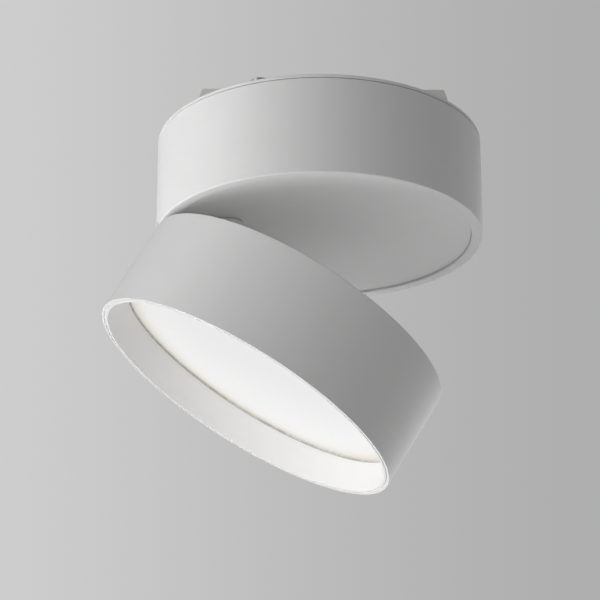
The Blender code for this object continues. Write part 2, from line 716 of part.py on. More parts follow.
def base_leaf():
    """Fixed leaf on the underside plate, with the two outer knuckles."""
    axis = (HINGE_X, HINGE_Z - BASE_TOP)
    top = -(DRUM_HEIGHT - RECESS) - GAP
    neck, wide, corner = HINGE_HALF - GAP, 22.3 * MM, 4.5 * MM
    start, shoulder, end = HINGE_X + 2.0 * MM, -59.5 * MM, -34.2 * MM
    outline = [(start, -neck), (-63.0 * MM, -neck), (shoulder, 2 * MM - wide)]
    outline += arc((end - corner, corner - wide), corner, 270, 360)
    outline += arc((end - corner, wide - corner), corner, 0, 90)
    outline += [(shoulder, wide - 2 * MM), (-63.0 * MM, neck), (start, neck)]
    outline.insert(3, (shoulder + 2 * MM, -wide))
    outline.insert(-3, (shoulder + 2 * MM, wide))
    middle = (0.0, 0.0, top - LEAF / 2)
    leaf = plate("hinge_base_leaf", outline, LEAF, WHITE_PAINT, SWIVEL_AXIS, at=middle)
    half, gap_half = HINGE_HALF, OUTER_KNUCKLE_START
    barrel = rods("base_knuckles", [axis], KNUCKLE_RADIUS, -half, half, None, SWIVEL_AXIS, "Y")
    rim = (RADIUS - 0.1 * MM, -60 * MM, -30 * MM)
    trim = rods("barrel_trim", [(0.0, 0.0)], *rim, None, SWIVEL_AXIS, steps=128)
    low = (HINGE_X - 6 * MM, -gap_half, axis[1] - 6 * MM)
    high = (HINGE_X + 4.6 * MM, gap_half, axis[1] + 6 * MM)
    room = boxes("middle_knuckle_room", [(low, high)], None, SWIVEL_AXIS)
    bore = rods("base_knuckle_bore", [axis], PIN_BORE, -20 * MM, 20 * MM, None, SWIVEL_AXIS, "Y")
    combine(leaf, barrel, "UNION")
    combine(leaf, trim, "INTERSECT")
    outer_face = top - LEAF
    cut(leaf, room, bore, *screw_holes("base_leaf_screw", BASE_LEAF_SCREWS, SWIVEL_AXIS, outer_face, 1))
    hole = (4.2 * MM, -50 * MM, -40 * MM)
    grommet_hole = rods("leaf_grommet_hole", [(GROMMET_X, 0.0)], *hole, None, SWIVEL_AXIS)
    cut(leaf, grommet_hole, solver="MANIFOLD")
    for number, at in enumerate(BASE_LEAF_SCREWS, 1):
        leaf_screw(f"base_leaf_screw_{number}", SWIVEL_AXIS, at, outer_face + 0.2 * MM, 1)


def head_leaf():
    """Moving leaf on the head's top plate, with the middle knuckle."""
    low = HEAD_TOP - RECESS + GAP
    neck, wide, corner = MIDDLE_KNUCKLE_HALF - GAP, 22.0 * MM, 4.0 * MM
    start, shoulder, end = 2.0 * MM, 5.0 * MM, 29.0 * MM
    outline = [(start, -neck), (shoulder, -neck), (shoulder, -11.0 * MM), (9.0 * MM, -wide)]
    outline += arc((end - corner, corner - wide), corner, 270, 360)
    outline += arc((end - corner, wide - corner), corner, 0, 90)
    outline += [(9.0 * MM, wide), (shoulder, 11.0 * MM), (shoulder, neck), (start, neck)]
    leaf = plate("hinge_head_leaf", outline, LEAF, WHITE_PAINT, TILT_AXIS, at=(0.0, 0.0, low + LEAF / 2))
    half = MIDDLE_KNUCKLE_HALF
    knuckle = rods("head_knuckle", [(0.0, 0.0)], KNUCKLE_RADIUS, -half, half, None, TILT_AXIS, "Y")
    combine(leaf, knuckle, "UNION")
    outer_face = low + LEAF
    bore = (PIN_BORE, -20 * MM, 20 * MM)
    cut(leaf, rods("head_knuckle_bore", [(0.0, 0.0)], *bore, None, TILT_AXIS, "Y"))
    cut(leaf, *screw_holes("head_leaf_screw", HEAD_LEAF_SCREWS, TILT_AXIS, outer_face, -1))
    grommet_at = (GROMMET_X - HINGE_X, 0.0)
    grommet_hole = rods("head_leaf_grommet", [grommet_at], 4.2 * MM, -5 * MM, 5 * MM, None, TILT_AXIS)
    cut(leaf, grommet_hole, solver="MANIFOLD")
    for number, at in enumerate(HEAD_LEAF_SCREWS, 1):
        leaf_screw(f"head_leaf_screw_{number}", TILT_AXIS, at, outer_face - 0.2 * MM, -1)


def hinge_pin():
    """Headed pin and the two friction washers on it, turned about Y."""
    half, head = HINGE_HALF + GAP, 0.7 * MM
    centre = (HINGE_X, 0.0, HINGE_Z - BASE_TOP)
    profile = [
        (0.0, half + head),
        (1.9 * MM, half + head),
        (1.9 * MM, half),
        (PIN_RADIUS, half),
        (PIN_RADIUS, -half),
        (1.9 * MM, -half),
        (1.9 * MM, -half - head),
        (0.0, -half - head),
    ]
    pin = turned("hinge_pin", profile, STEEL, SWIVEL_AXIS, at=centre, steps=PART_STEPS)
    pin.rotation_euler.x = math.radians(90)
    inner, outer = MIDDLE_KNUCKLE_HALF + GAP, OUTER_KNUCKLE_START - GAP
    for number, sign in enumerate((-1, 1), 1):
        low, high = sorted((sign * inner, sign * outer))
        ring = [(2.9 * MM, high), (2.9 * MM, low), (PIN_BORE, low), (PIN_BORE, high)]
        washer = turned(f"hinge_washer_{number}", ring, STEEL, SWIVEL_AXIS, at=centre, steps=PART_STEPS)
        washer.rotation_euler.x = math.radians(90)


# ---- LED head ------------------------------------------------------------------------------------


def below_head_top(profile):
    """Profile points of (radius, depth below the head's top) as (radius, height) from the hinge line."""
    return [(radius, HEAD_TOP - depth) for radius, depth in profile]


def head_part(name, profile, look, steps=DRUM_STEPS):
    return turned(name, below_head_top(profile), look, TILT_AXIS, at=(AXIS_X, 0.0, 0.0), steps=steps)


def head_rods(name, places, radius, shallow, deep, top_radius=None, steps=SCREW_STEPS):
    low, high = HEAD_TOP - deep, HEAD_TOP - shallow
    return rods(name, places, radius, low, high, None, TILT_AXIS, "Z", top_radius, steps)


def head_shell():
    inner, front = RADIUS - HEAD_WALL, DRUM_HEIGHT
    profile = [
        (RADIUS - EDGE, 0.0),
        (RADIUS, EDGE),
        (RADIUS, front - 0.4 * MM),
        (RADIUS - 0.4 * MM, front),
        (RADIUS - RIM_RING, front),
        (RADIUS - RIM_RING, front - REBATE),
        (inner, front - REBATE),
        (inner, LIP_HEIGHT),
        (RIM_INNER, LIP_HEIGHT),
        (RIM_INNER, EDGE),
        (RIM_INNER + EDGE, 0.0),
    ]
    shell = head_part("head_shell", profile, WHITE_PAINT)
    cut(shell, *hinge_clearance("head_hinge", TILT_AXIS, (0.0, 0.0), -1))
    places = ring_places(3, HEAD_SCREW_RADIUS_AT, 0, AXIS_X)
    cut(
        shell,
        head_rods("head_screw_holes", places, 1.1 * MM, -MM, LIP_HEIGHT + MM),
        head_rods("head_screw_sinks", places, 0.9 * MM, -0.2 * MM, 1.3 * MM, 2.2 * MM),
    )
    for number, (x, y) in enumerate(places, 1):
        profile = below_head_top([(0.0, 0.2 * MM), (1.6 * MM, 0.2 * MM), (0.8 * MM, 1.2 * MM)])
        profile += below_head_top([(0.8 * MM, 7.0 * MM), (0.0, 7.0 * MM)])
        turned(f"head_screw_{number}", profile, STEEL, TILT_AXIS, at=(x, y, 0.0), steps=SCREW_STEPS)


def head_plate():
    """The head's top, recessed like the base's underside, with three pillars that carry the heat sink."""
    disc, inner = RIM_INNER - GAP, 66.0 * MM
    flange, rim = LIP_HEIGHT + GAP, RADIUS - HEAD_WALL - 0.4 * MM
    profile = [
        (0.0, RECESS),
        (disc, RECESS),
        (disc, flange),
        (rim, flange),
        (rim, flange + SHEET),
        (inner, flange + SHEET),
        (inner, RECESS + SHEET),
        (0.0, RECESS + SHEET),
    ]
    made = head_part("head_plate", profile, WHITE_PAINT)
    pillars = ring_places(3, BOARD_PILLAR_RADIUS_AT, 0, AXIS_X)
    edge_screws = ring_places(3, HEAD_SCREW_RADIUS_AT, 0, AXIS_X)
    grommet_at = [(GROMMET_X - HINGE_X, 0.0)]
    pillar = (PILLAR_RADIUS, RECESS + SHEET / 2, SINK_DEPTH - GAP)
    combine(made, head_rods("board_pillars", pillars, *pillar, steps=PART_STEPS), "UNION")
    cut(
        made,
        head_rods("board_pillar_bores", pillars, 1.5 * MM, 9 * MM, 20 * MM),
        head_rods("plate_edge_screws", edge_screws, 1.1 * MM, MM, 8 * MM),
        head_rods("plate_leaf_screws", HEAD_LEAF_SCREWS, 1.5 * MM, 0.0, 8 * MM),
        head_rods("plate_grommet_hole", grommet_at, 3.8 * MM, 0.0, 8 * MM, None, PART_STEPS),
    )
    half = HINGE_NOTCH_HALF
    cut(made, rods("head_plate_knuckle", [(0.0, 0.0)], KNUCKLE_CLEAR, -half, half, None, TILT_AXIS, "Y"))


def heat_sink():
    """Extruded comb of straight fins along X, trimmed round, fins up towards the top plate."""
    fins, thickness, height, base = 9, 2.0 * MM, 10.5 * MM, 2.0 * MM
    pitch = 13.0 * MM
    half = SINK_RADIUS
    outline = [(-half, 0.0), (half, 0.0), (half, base)]
    for i in reversed(range(fins)):
        y = (i - (fins - 1) / 2) * pitch
        outline += [(y + thickness / 2, base), (y + thickness / 2, base + height)]
        outline += [(y - thickness / 2, base + height), (y - thickness / 2, base)]
    outline.append((-half, base))
    low = HEAD_TOP - SINK_DEPTH - base
    sink = plate("heat_sink", outline, 2 * half, ALUMINIUM, upright=True)
    sink.rotation_euler.z = math.radians(90)
    sink.location = (AXIS_X, 0.0, low)
    sink.parent = TILT_AXIS
    pillars = ring_places(3, BOARD_PILLAR_RADIUS_AT, 0, AXIS_X)
    trim = head_rods("sink_trim", [(AXIS_X, 0.0)], SINK_RADIUS - 0.5 * MM, 0.0, 40 * MM, steps=48)
    combine(sink, trim, "INTERSECT")
    cut(
        sink,
        head_rods("sink_pillar_room", pillars, PILLAR_RADIUS + 0.5 * MM, 0.0, SINK_DEPTH, None, PART_STEPS),
        head_rods("sink_screw_holes", pillars, 1.6 * MM, 0.0, 30 * MM),
        head_rods("sink_grommet_room", [(GROMMET_X - HINGE_X, 0.0)], 7.0 * MM, 0.0, 40 * MM),
    )


def led_board():
    low = BOARD_DEPTH + BOARD_THICKNESS
    radius = SINK_RADIUS - 0.5 * MM
    profile = [(0.0, BOARD_DEPTH), (radius, BOARD_DEPTH), (radius, low), (0.0, low)]
    board = head_part("led_board", profile, BOARD_WHITE, 48)
    pillars = ring_places(3, BOARD_PILLAR_RADIUS_AT, 0, AXIS_X)
    half, thickness = 1.75 * MM, 0.8 * MM
    chips = [
        (
            (x - half, y - half, HEAD_TOP - low - thickness),
            (x + half, y + half, HEAD_TOP - low + 0.4 * MM),
        )
        for x, y in ring_places(LED_COUNT, LED_RING_RADIUS, 0, AXIS_X)
    ]
    combine(board, boxes("led_chips", chips, None, TILT_AXIS), "UNION")
    cut(board, head_rods("board_screw_holes", pillars, 1.6 * MM, 15 * MM, 30 * MM))
    for number, (x, y) in enumerate(pillars, 1):
        head = low + GAP
        profile = [(0.0, 10.5 * MM), (1.2 * MM, 10.5 * MM), (1.2 * MM, head), (2.6 * MM, head)]
        profile += [(2.6 * MM, head + 1.4 * MM), (2.1 * MM, head + 1.8 * MM), (0.0, head + 1.8 * MM)]
        outline = below_head_top(profile)
        turned(f"board_screw_{number}", outline, STEEL, TILT_AXIS, at=(x, y, 0.0), steps=SCREW_STEPS)


def optics():
    cone_top, cone_foot = BOARD_DEPTH + 2.2 * MM, DIFFUSER_DEPTH - GAP
    head_part(
        "reflector_cone",
        [(62.0 * MM, cone_top), (70.9 * MM, cone_foot), (69.9 * MM, cone_foot), (61.0 * MM, cone_top)],
        WHITE_PLASTIC,
    )
    face, radius = DIFFUSER_DEPTH + DIFFUSER_THICKNESS, 70.8 * MM
    disc = [(0.0, DIFFUSER_DEPTH), (radius, DIFFUSER_DEPTH), (radius, face), (0.0, face)]
    head_part("diffuser", disc, OPAL)
    low = BAFFLE_TOP_DEPTH - GAP
    head_part(
        "diffuser_gasket",
        [(71.1 * MM, face + GAP), (71.1 * MM, low), (70.4 * MM, low), (70.4 * MM, face + GAP)],
        GREY_RUBBER,
    )
    front, inner, outer = DRUM_HEIGHT, BAFFLE_INNER, BAFFLE_OUTER
    head_part(
        "front_baffle",
        [
            (outer, BAFFLE_TOP_DEPTH),
            (outer, front - GAP),
            (outer - GAP, front),
            (inner + 0.2 * MM, front),
            (inner, front - GAP),
            (inner, BAFFLE_TOP_DEPTH),
        ],
        WHITE_PAINT,
    )


adapter_housing()
adapter_floor()
adapter_fasteners()
adapter_wiring()
latch()
contact_tower()
swivel()
base_cover()
base_shell()
base_plate()
driver()
grommet("base_grommet", SWIVEL_AXIS, GROMMET_X, -(DRUM_HEIGHT - RECESS), 1)
base_leaf()
head_leaf()
hinge_pin()
head_shell()
head_plate()
heat_sink()
led_board()
optics()
grommet("head_grommet", TILT_AXIS, GROMMET_X - HINGE_X, HEAD_TOP - RECESS, -1)
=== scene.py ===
"""The looks of the track spotlight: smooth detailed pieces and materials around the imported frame."""

import json
import math

import bmesh
import bpy
from mathutils import Matrix, Vector


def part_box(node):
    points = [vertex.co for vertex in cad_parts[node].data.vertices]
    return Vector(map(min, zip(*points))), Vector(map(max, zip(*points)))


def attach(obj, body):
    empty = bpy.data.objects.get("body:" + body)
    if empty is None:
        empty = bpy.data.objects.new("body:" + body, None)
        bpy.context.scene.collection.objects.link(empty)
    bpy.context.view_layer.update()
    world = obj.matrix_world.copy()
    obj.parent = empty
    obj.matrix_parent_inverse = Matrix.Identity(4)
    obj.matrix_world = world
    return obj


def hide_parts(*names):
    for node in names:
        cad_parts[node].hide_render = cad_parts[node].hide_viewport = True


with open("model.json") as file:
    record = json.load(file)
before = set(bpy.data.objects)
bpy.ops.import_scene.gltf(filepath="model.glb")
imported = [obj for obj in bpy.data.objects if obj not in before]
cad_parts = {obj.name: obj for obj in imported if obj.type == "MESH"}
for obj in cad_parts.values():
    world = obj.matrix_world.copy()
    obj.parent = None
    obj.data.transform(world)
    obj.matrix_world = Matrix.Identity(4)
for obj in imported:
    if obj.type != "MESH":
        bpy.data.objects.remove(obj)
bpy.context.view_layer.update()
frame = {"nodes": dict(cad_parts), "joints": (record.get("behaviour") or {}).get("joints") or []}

MM = 0.001
GAP = 0.3 * MM

# Turned pieces
DRUM_STEPS = 192
PART_STEPS = 64
SMALL_STEPS = 32
KNURLS = 40
KNURL_STEPS = 320
KNURL_DEPTH = 0.45 * MM
SMOOTH_BELOW = math.radians(32)
SMOOTH_BEVEL_BELOW = math.radians(40)

# Frame
RADIUS = (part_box("base_shell")[1].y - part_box("base_shell")[0].y) / 2
BASE_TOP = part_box("base_cover")[1].z
RIM_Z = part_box("base_shell")[0].z
DRUM_HEIGHT = BASE_TOP - RIM_Z
JOINTS = {joint["name"]: joint for joint in frame["joints"]}
TILT = JOINTS["head_tilt"]
HINGE = Vector(TILT["pos_m"])
REST_TILT = math.radians(-TILT["range_deg"][0])
FULL_OPEN = math.radians(TILT["range_deg"][1] - TILT["range_deg"][0])
LATCH_X = JOINTS["latch_turn"]["pos_m"][0]
CONTACT_X = JOINTS["contact_turn"]["pos_m"][0]

# Where each body's own pieces are drawn from
FRAMES = {
    "adapter": Matrix.Identity(4),
    "latch": Matrix.Translation((LATCH_X, 0.0, 0.0)),
    "contacts": Matrix.Translation((CONTACT_X, 0.0, 0.0)),
    "base": Matrix.Translation((0.0, 0.0, BASE_TOP)),
    "head": Matrix.Translation(HINGE) @ Matrix.Rotation(REST_TILT, 4, "Y"),
}
CLOSED_GAP = 1.0 * MM
HEAD_TOP = RIM_Z - CLOSED_GAP - HINGE.z
AXIS_X = -HINGE.x

# Drum walls and plates
WALL = 2.2 * MM
HEAD_WALL = 1.6 * MM
RIM_INNER = 67.8 * MM
LIP_HEIGHT = 4.0 * MM
RECESS = 0.9 * MM
UNDERSIDE_GAP = 0.14 * MM
SHEET = 1.5 * MM
EDGE = 0.5 * MM
PLATE_INNER = 66.0 * MM
PILLAR_RADIUS = 3.5 * MM
PILLAR_RADIUS_AT = 58.0 * MM
BOARD_PILLAR_RADIUS_AT = 48.0 * MM
HEAD_SCREW_RADIUS_AT = 70.0 * MM
RIVET_RADIUS_AT = 8.2 * MM

# Hinge
KNUCKLE_RADIUS = 3.7 * MM
KNUCKLE_CLEAR = 4.0 * MM
HINGE_HALF = 12.9 * MM
HINGE_NOTCH_HALF = 14.3 * MM
PIN_BORE = 1.55 * MM
MIDDLE_KNUCKLE_HALF = 4.2 * MM
OUTER_KNUCKLE_START = 5.6 * MM
LEAF = 0.8 * MM
GROMMET_X = -50.0 * MM
HEAD_GROMMET_X = GROMMET_X - HINGE.x
BASE_LEAF_SCREWS = [(-45.0 * MM, -15.0 * MM), (-45.0 * MM, 15.0 * MM)]
HEAD_LEAF_SCREWS = [(23.0 * MM, -14.0 * MM), (23.0 * MM, 14.0 * MM)]

# Optics, depths below the head's top
SINK_DEPTH = 18.5 * MM
BOARD_DEPTH = 20.8 * MM
BOARD_THICKNESS = 1.6 * MM
DIFFUSER_DEPTH = 28.1 * MM
DIFFUSER_THICKNESS = 2.0 * MM
DIFFUSER_RADIUS = 70.8 * MM
BAFFLE_TOP_DEPTH = 31.4 * MM
BAFFLE_THROAT = 68.8 * MM
BAFFLE_INNER = 70.1 * MM
BAFFLE_RISE = 0.5 * MM
BAFFLE_FRONT = 0.16 * MM
RIM_RING = 1.0 * MM
GROOVE_DEPTH = 0.5 * MM
LED_COUNT = 12
LED_RING_RADIUS = 38.0 * MM

# Adapter
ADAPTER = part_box("adapter_housing")
ADAPTER_ENDS = (ADAPTER[0].x, ADAPTER[1].x)
ADAPTER_SLOPE = 1.5 * MM
ADAPTER_SLOPE_DOWN = 4.6 * MM
ADAPTER_HALF_WIDTH = ADAPTER[1].y
ADAPTER_LOW = ADAPTER[0].z
ADAPTER_WALL = 1.8 * MM
TOWER_RADIUS = 5.9 * MM
KNOB_RADIUS = 17.8 * MM
KNOB_TOP = -6.0 * MM
KNOB_THICKNESS = 5.0 * MM
ADAPTER_FLOOR = 2.0 * MM
FLOOR_SCREWS = (ADAPTER_ENDS[0] + 6.0 * MM, ADAPTER_ENDS[1] - 6.0 * MM)
BUSH_RADIUS = 7.0 * MM
STOP_RADIUS_AT = 11.0 * MM
SEAT_HALF_LENGTH = 9.0 * MM
END_SEAT_X = (37.0 * MM, 44.0 * MM)
SEAT_RISE = 0.4 * MM
EARTH_CONTACT_X = 15.3 * MM

# ---- Mesh tools ----------------------------------------------------------------------------------


def scaled(profile):
    return [tuple(value * MM for value in point) for point in profile]


def rounded(points, closed=True, count=4):
    """The outline with an arc at each point that has a third value, the arc's radius."""
    out = []
    total = len(points)
    for i, point in enumerate(points):
        here = Vector(point[:2])
        radius = point[2] if len(point) > 2 else 0.0
        if not radius or (not closed and i in (0, total - 1)):
            out.append(tuple(here))
            continue
        before = (Vector(points[i - 1][:2]) - here).normalized()
        after = (Vector(points[(i + 1) % total][:2]) - here).normalized()
        half = before.angle(after) / 2
        reach = radius / math.tan(half)
        centre = here + (before + after).normalized() * radius / math.sin(half)
        first, last = here + before * reach - centre, here + after * reach - centre
        sweep = first.angle_signed(last)
        for step in range(count + 1):
            turn = Matrix.Rotation(-sweep * step / count, 2)
            out.append(tuple(centre + turn @ first))
    return out


def mesh_of(name, bm):
    bmesh.ops.recalc_face_normals(bm, faces=bm.faces)
    mesh = bpy.data.meshes.new(name)
    bm.to_mesh(mesh)
    bm.free()
    mesh.shade_smooth()
    mesh.set_sharp_from_angle(angle=SMOOTH_BELOW)
    return mesh


def place(name, data):
    obj = bpy.data.objects.new(name, data)
    bpy.context.scene.collection.objects.link(obj)
    return obj


def turned(name, profile, at=(0.0, 0.0, 0.0), steps=PART_STEPS, axis="Z", shape=None):
    """A solid of revolution from (radius, height, fillet) points. shape may change a point's radius."""
    outline = rounded(profile, closed=min(p[0] for p in profile) > 0.0)
    bm = bmesh.new()
    rings = []
    for radius, height in outline:
        if radius <= 0.0:
            rings.append([bm.verts.new((0.0, 0.0, height))])
            continue
        ring = []
        for step in range(steps):
            angle = 2 * math.pi * step / steps
            reach = radius + (shape(radius, height, angle) if shape else 0.0)
            ring.append(bm.verts.new((reach * math.cos(angle), reach * math.sin(angle), height)))
        rings.append(ring)
    pairs = list(zip(rings, rings[1:]))
    if len(rings[0]) > 1 and len(rings[-1]) > 1:
        pairs.append((rings[-1], rings[0]))
    for first, second in pairs:
        for step in range(steps):
            after = (step + 1) % steps
            corners = [first[step % len(first)], first[after % len(first)]]
            corners += [second[after % len(second)], second[step % len(second)]]
            unique = list(dict.fromkeys(corners))
            if len(unique) > 2:
                bm.faces.new(unique)
    turn = Matrix.Rotation(math.radians(-90), 4, "X") if axis == "Y" else Matrix.Identity(4)
    bm.transform(Matrix.Translation(at) @ turn)
    return place(name, mesh_of(name, bm))


def slab(name, outline, low, high, upright=False):
    """A flat outline between two heights. An upright slab's outline is in XZ, and its heights are along Y."""
    bm = bmesh.new()
    base = [bm.verts.new((x, y, low)) for x, y in outline]
    bottom = bm.faces.new(base)
    top = bmesh.ops.extrude_face_region(bm, geom=[bottom])["geom"]
    lift = [item for item in top if isinstance(item, bmesh.types.BMVert)]
    bmesh.ops.translate(bm, verts=lift, vec=(0.0, 0.0, high - low))
    if upright:
        bm.transform(Matrix.Rotation(math.radians(90), 4, "X"))
    return place(name, mesh_of(name, bm))


def box(name, low, high):
    (x0, y0, z0), (x1, y1, z1) = low, high
    return slab(name, [(x0, y0), (x1, y0), (x1, y1), (x0, y1)], z0, z1)


def rod(name, x, y, radius, low, high, axis="Z", steps=PART_STEPS, top=None):
    """A cutter or a plain round bar. With axis Y, its place is in XZ."""
    at = (x, y, 0.0) if axis == "Z" else (x, 0.0, y)
    wide = radius if top is None else top
    return turned(name, [(0.0, high), (wide, high), (radius, low), (0.0, low)], at, steps, axis)


def settle(obj, smooth_below):
    """Turns the object's modifiers into its mesh, smooth except at edges sharper than the angle."""
    bpy.context.view_layer.update()
    graph = bpy.context.evaluated_depsgraph_get()
    mesh = bpy.data.meshes.new_from_object(obj.evaluated_get(graph))
    obj.modifiers.clear()
    obj.data = mesh
    mesh.shade_smooth()
    mesh.set_sharp_from_angle(angle=smooth_below)


def combine(obj, others, operation="DIFFERENCE", solver="EXACT"):
    """Cuts, joins or intersects an object with others, which are used up."""
    for other in others:
        boolean = obj.modifiers.new(operation, "BOOLEAN")
        boolean.operation = operation
        boolean.solver = solver
        boolean.object = other
    settle(obj, SMOOTH_BELOW)
    for other in others:
        bpy.data.objects.remove(other)


def soften(obj, width, segments=3, angle=30):
    """Rounds an object's sharp edges."""
    bevel = obj.modifiers.new("Rounded edges", "BEVEL")
    bevel.width = width
    bevel.segments = segments
    bevel.limit_method = "ANGLE"
    bevel.angle_limit = math.radians(angle)
    settle(obj, SMOOTH_BEVEL_BELOW)
    return obj


def band(outer, inner, high, low, fillet):
    """The profile of a plain ring."""
    return [(outer, high, fillet), (outer, low, fillet), (inner, low, fillet), (inner, high, fillet)]


def ring_places(count, radius, start=0.0, centre_x=0.0):
    angles = [math.radians(start) + 2 * math.pi * i / count for i in range(count)]
    return [(centre_x + radius * math.cos(a), radius * math.sin(a)) for a in angles]


def wear(obj, look, body, slot, *nodes, at=None):
    """Puts a finished piece in its body's frame, with its material, and hides the CAD nodes it stands for.
    The slot argument is not used.
    """
    obj.matrix_world = at or FRAMES[body]
    obj.data.materials.clear()
    for material in look if isinstance(look, (list, tuple)) else [look]:
        obj.data.materials.append(material)
    if obj.type == "MESH":
        obj.modifiers.new("Weighted normals", "WEIGHTED_NORMAL").keep_sharp = True
    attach(obj, body)
    if nodes:
        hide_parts(*nodes)


# ---- Materials -----------------------------------------------------------------------------------


def put(node, **values):
    """Sets a node's inputs. An underscore stands for a space in an input's name."""
    for name, value in values.items():
        node.inputs[name.replace("_", " ")].default_value = value


class Look:
    """A Principled material, with short ways to add procedural detail in the object's own coordinates."""

    def __init__(self, name, colour, roughness, metallic=0.0, specular=0.5):
        self.material = bpy.data.materials.new(name)
        self.material.use_nodes = True
        self.nodes = self.material.node_tree.nodes
        self.links = self.material.node_tree.links
        self.shader = self.nodes["Principled BSDF"]
        put(self.shader, Base_Color=(*colour, 1.0), Roughness=roughness)
        put(self.shader, Metallic=metallic, Specular_IOR_Level=specular)
        self.colour = colour
        self.coordinates = self.nodes.new("ShaderNodeTexCoord").outputs["Object"]
        self.normal = None

    def stretched(self, scale):
        mapping = self.nodes.new("ShaderNodeMapping")
        put(mapping, Scale=scale)
        self.links.new(self.coordinates, mapping.inputs["Vector"])
        return mapping.outputs["Vector"]

    def noise(self, scale, detail=3.0, stretch=None):
        node = self.nodes.new("ShaderNodeTexNoise")
        put(node, Scale=scale, Detail=detail)
        self.links.new(self.stretched(stretch) if stretch else self.coordinates, node.inputs["Vector"])
        return node.outputs["Fac"]

    def cells(self, scale):
        node = self.nodes.new("ShaderNodeTexVoronoi")
        put(node, Scale=scale)
        self.links.new(self.coordinates, node.inputs["Vector"])
        return node.outputs["Distance"]

    def spread(self, value, low, high, start=0.35, end=0.65):
        node = self.nodes.new("ShaderNodeMapRange")
        self.links.new(value, node.inputs["Value"])
        put(node, From_Min=start, From_Max=end, To_Min=low, To_Max=high)
        return node.outputs["Result"]

    def ramp(self, value, stops):
        node = self.nodes.new("ShaderNodeValToRGB")
        self.links.new(value, node.inputs["Fac"])
        while len(node.color_ramp.elements) < len(stops):
            node.color_ramp.elements.new(0.5)
        for element, (position, colour) in zip(node.color_ramp.elements, stops):
            element.position = position
            element.color = (*colour, 1.0)
        return node.outputs["Color"]

    def tint(self, value, amount):
        """Varies the base colour by a share of itself."""
        dark = tuple(channel * (1 - amount) for channel in self.colour)
        colour = self.ramp(value, [(0.3, dark), (0.7, self.colour)])
        self.links.new(colour, self.shader.inputs["Base Color"])

    def gloss(self, value, low, high):
        self.links.new(self.spread(value, low, high), self.shader.inputs["Roughness"])

    def bump(self, value, distance, strength):
        node = self.nodes.new("ShaderNodeBump")
        put(node, Distance=distance, Strength=strength)
        self.links.new(value, node.inputs["Height"])
        if self.normal:
            self.links.new(self.normal, node.inputs["Normal"])
        self.normal = node.outputs["Normal"]
        self.links.new(self.normal, self.shader.inputs["Normal"])

    def radius_from(self, centre):
        """Distance in metres from an upright axis through the centre."""
        move = self.nodes.new("ShaderNodeMapping")
        put(move, Location=(-centre[0], -centre[1], 0.0), Scale=(1.0, 1.0, 0.0))
        self.links.new(self.coordinates, move.inputs["Vector"])
        length = self.nodes.new("ShaderNodeVectorMath")
        length.operation = "LENGTH"
        self.links.new(move.outputs["Vector"], length.inputs[0])
        return length.outputs["Value"]


def powder_coat(name="powder_coat", colour=(0.80, 0.80, 0.797)):
    """Fine matt white powder coat: a slight orange peel under a finer grain."""
    look = Look(name, colour, 0.42, specular=0.42)
    look.tint(look.noise(90.0, 4.0), 0.015)
    look.gloss(look.noise(2600.0, 2.0), 0.36, 0.48)
    look.bump(look.noise(520.0, 2.0), 0.00004, 0.35)
    look.bump(look.noise(3200.0, 2.0), 0.00002, 0.35)
    return look.material


def moulded(name, colour, roughness, grain=2200.0, depth=0.00002):
    """Injection-moulded plastic with a spark-eroded texture and slight flow marks."""
    look = Look(name, colour, roughness, specular=0.45)
    look.tint(look.noise(140.0, 3.0), 0.03)
    look.gloss(look.noise(900.0, 3.0), roughness - 0.06, roughness + 0.07)
    look.bump(look.cells(grain), depth, 0.5)
    look.bump(look.noise(grain * 1.8, 3.0), depth, 0.4)
    return look.material


def opal():
    """Lit opal acrylic: nearly even, a little dimmer and warmer towards its edge."""
    look = Look("opal_lit", (0.12, 0.12, 0.12), 0.34, specular=0.4)
    reach = look.radius_from((AXIS_X, 0.0))
    edge = look.spread(reach, 0.0, 1.0, 0.0, DIFFUSER_RADIUS)
    colour = look.ramp(
        edge,
        [
            (0.80, (1.0, 1.0, 1.0)),
            (0.88, (0.99, 0.98, 0.955)),
            (0.94, (0.92, 0.88, 0.80)),
            (1.0, (0.70, 0.65, 0.56)),
        ],
    )
    look.links.new(colour, look.shader.inputs["Emission Color"])
    put(look.shader, Emission_Strength=GLOW)
    look.gloss(look.noise(1400.0, 2.0), 0.30, 0.38)
    look.bump(look.noise(2600.0, 2.0), 0.000015, 0.4)
    return look.material


def rubber(name, colour):
    look = Look(name, colour, 0.78, specular=0.3)
    look.tint(look.noise(400.0, 4.0), 0.3)
    look.gloss(look.noise(1600.0, 3.0), 0.7, 0.86)
    look.bump(look.noise(4200.0, 4.0), 0.00003, 0.6)
    return look.material


def zinc():
    """Bright zinc plate: cloudy colour, fine crystals and light handling marks."""
    look = Look("zinc_plate", (0.58, 0.585, 0.60), 0.3, 1.0)
    look.tint(look.noise(260.0, 5.0), 0.22)
    look.gloss(look.noise(1100.0, 4.0), 0.22, 0.42)
    look.bump(look.cells(3400.0), 0.00001, 0.3)
    look.bump(look.noise(300.0, 4.0, (1.0, 14.0, 1.0)), 0.00001, 0.3)
    return look.material


def extruded_aluminium():
    look = Look("extruded_aluminium", (0.70, 0.71, 0.72), 0.38, 1.0)
    look.tint(look.noise(60.0, 4.0, (0.6, 18.0, 18.0)), 0.12)
    look.gloss(look.noise(120.0, 3.0, (0.5, 20.0, 20.0)), 0.28, 0.5)
    look.bump(look.noise(160.0, 3.0, (0.4, 22.0, 22.0)), 0.00002, 0.6)
    return look.material


def spring_copper():
    look = Look("spring_copper", (0.83, 0.44, 0.26), 0.28, 1.0)
    look.tint(look.noise(420.0, 5.0), 0.3)
    look.gloss(look.noise(800.0, 4.0, (1.0, 1.0, 9.0)), 0.2, 0.42)
    look.bump(look.noise(700.0, 3.0, (1.0, 1.0, 12.0)), 0.00001, 0.4)
    return look.material


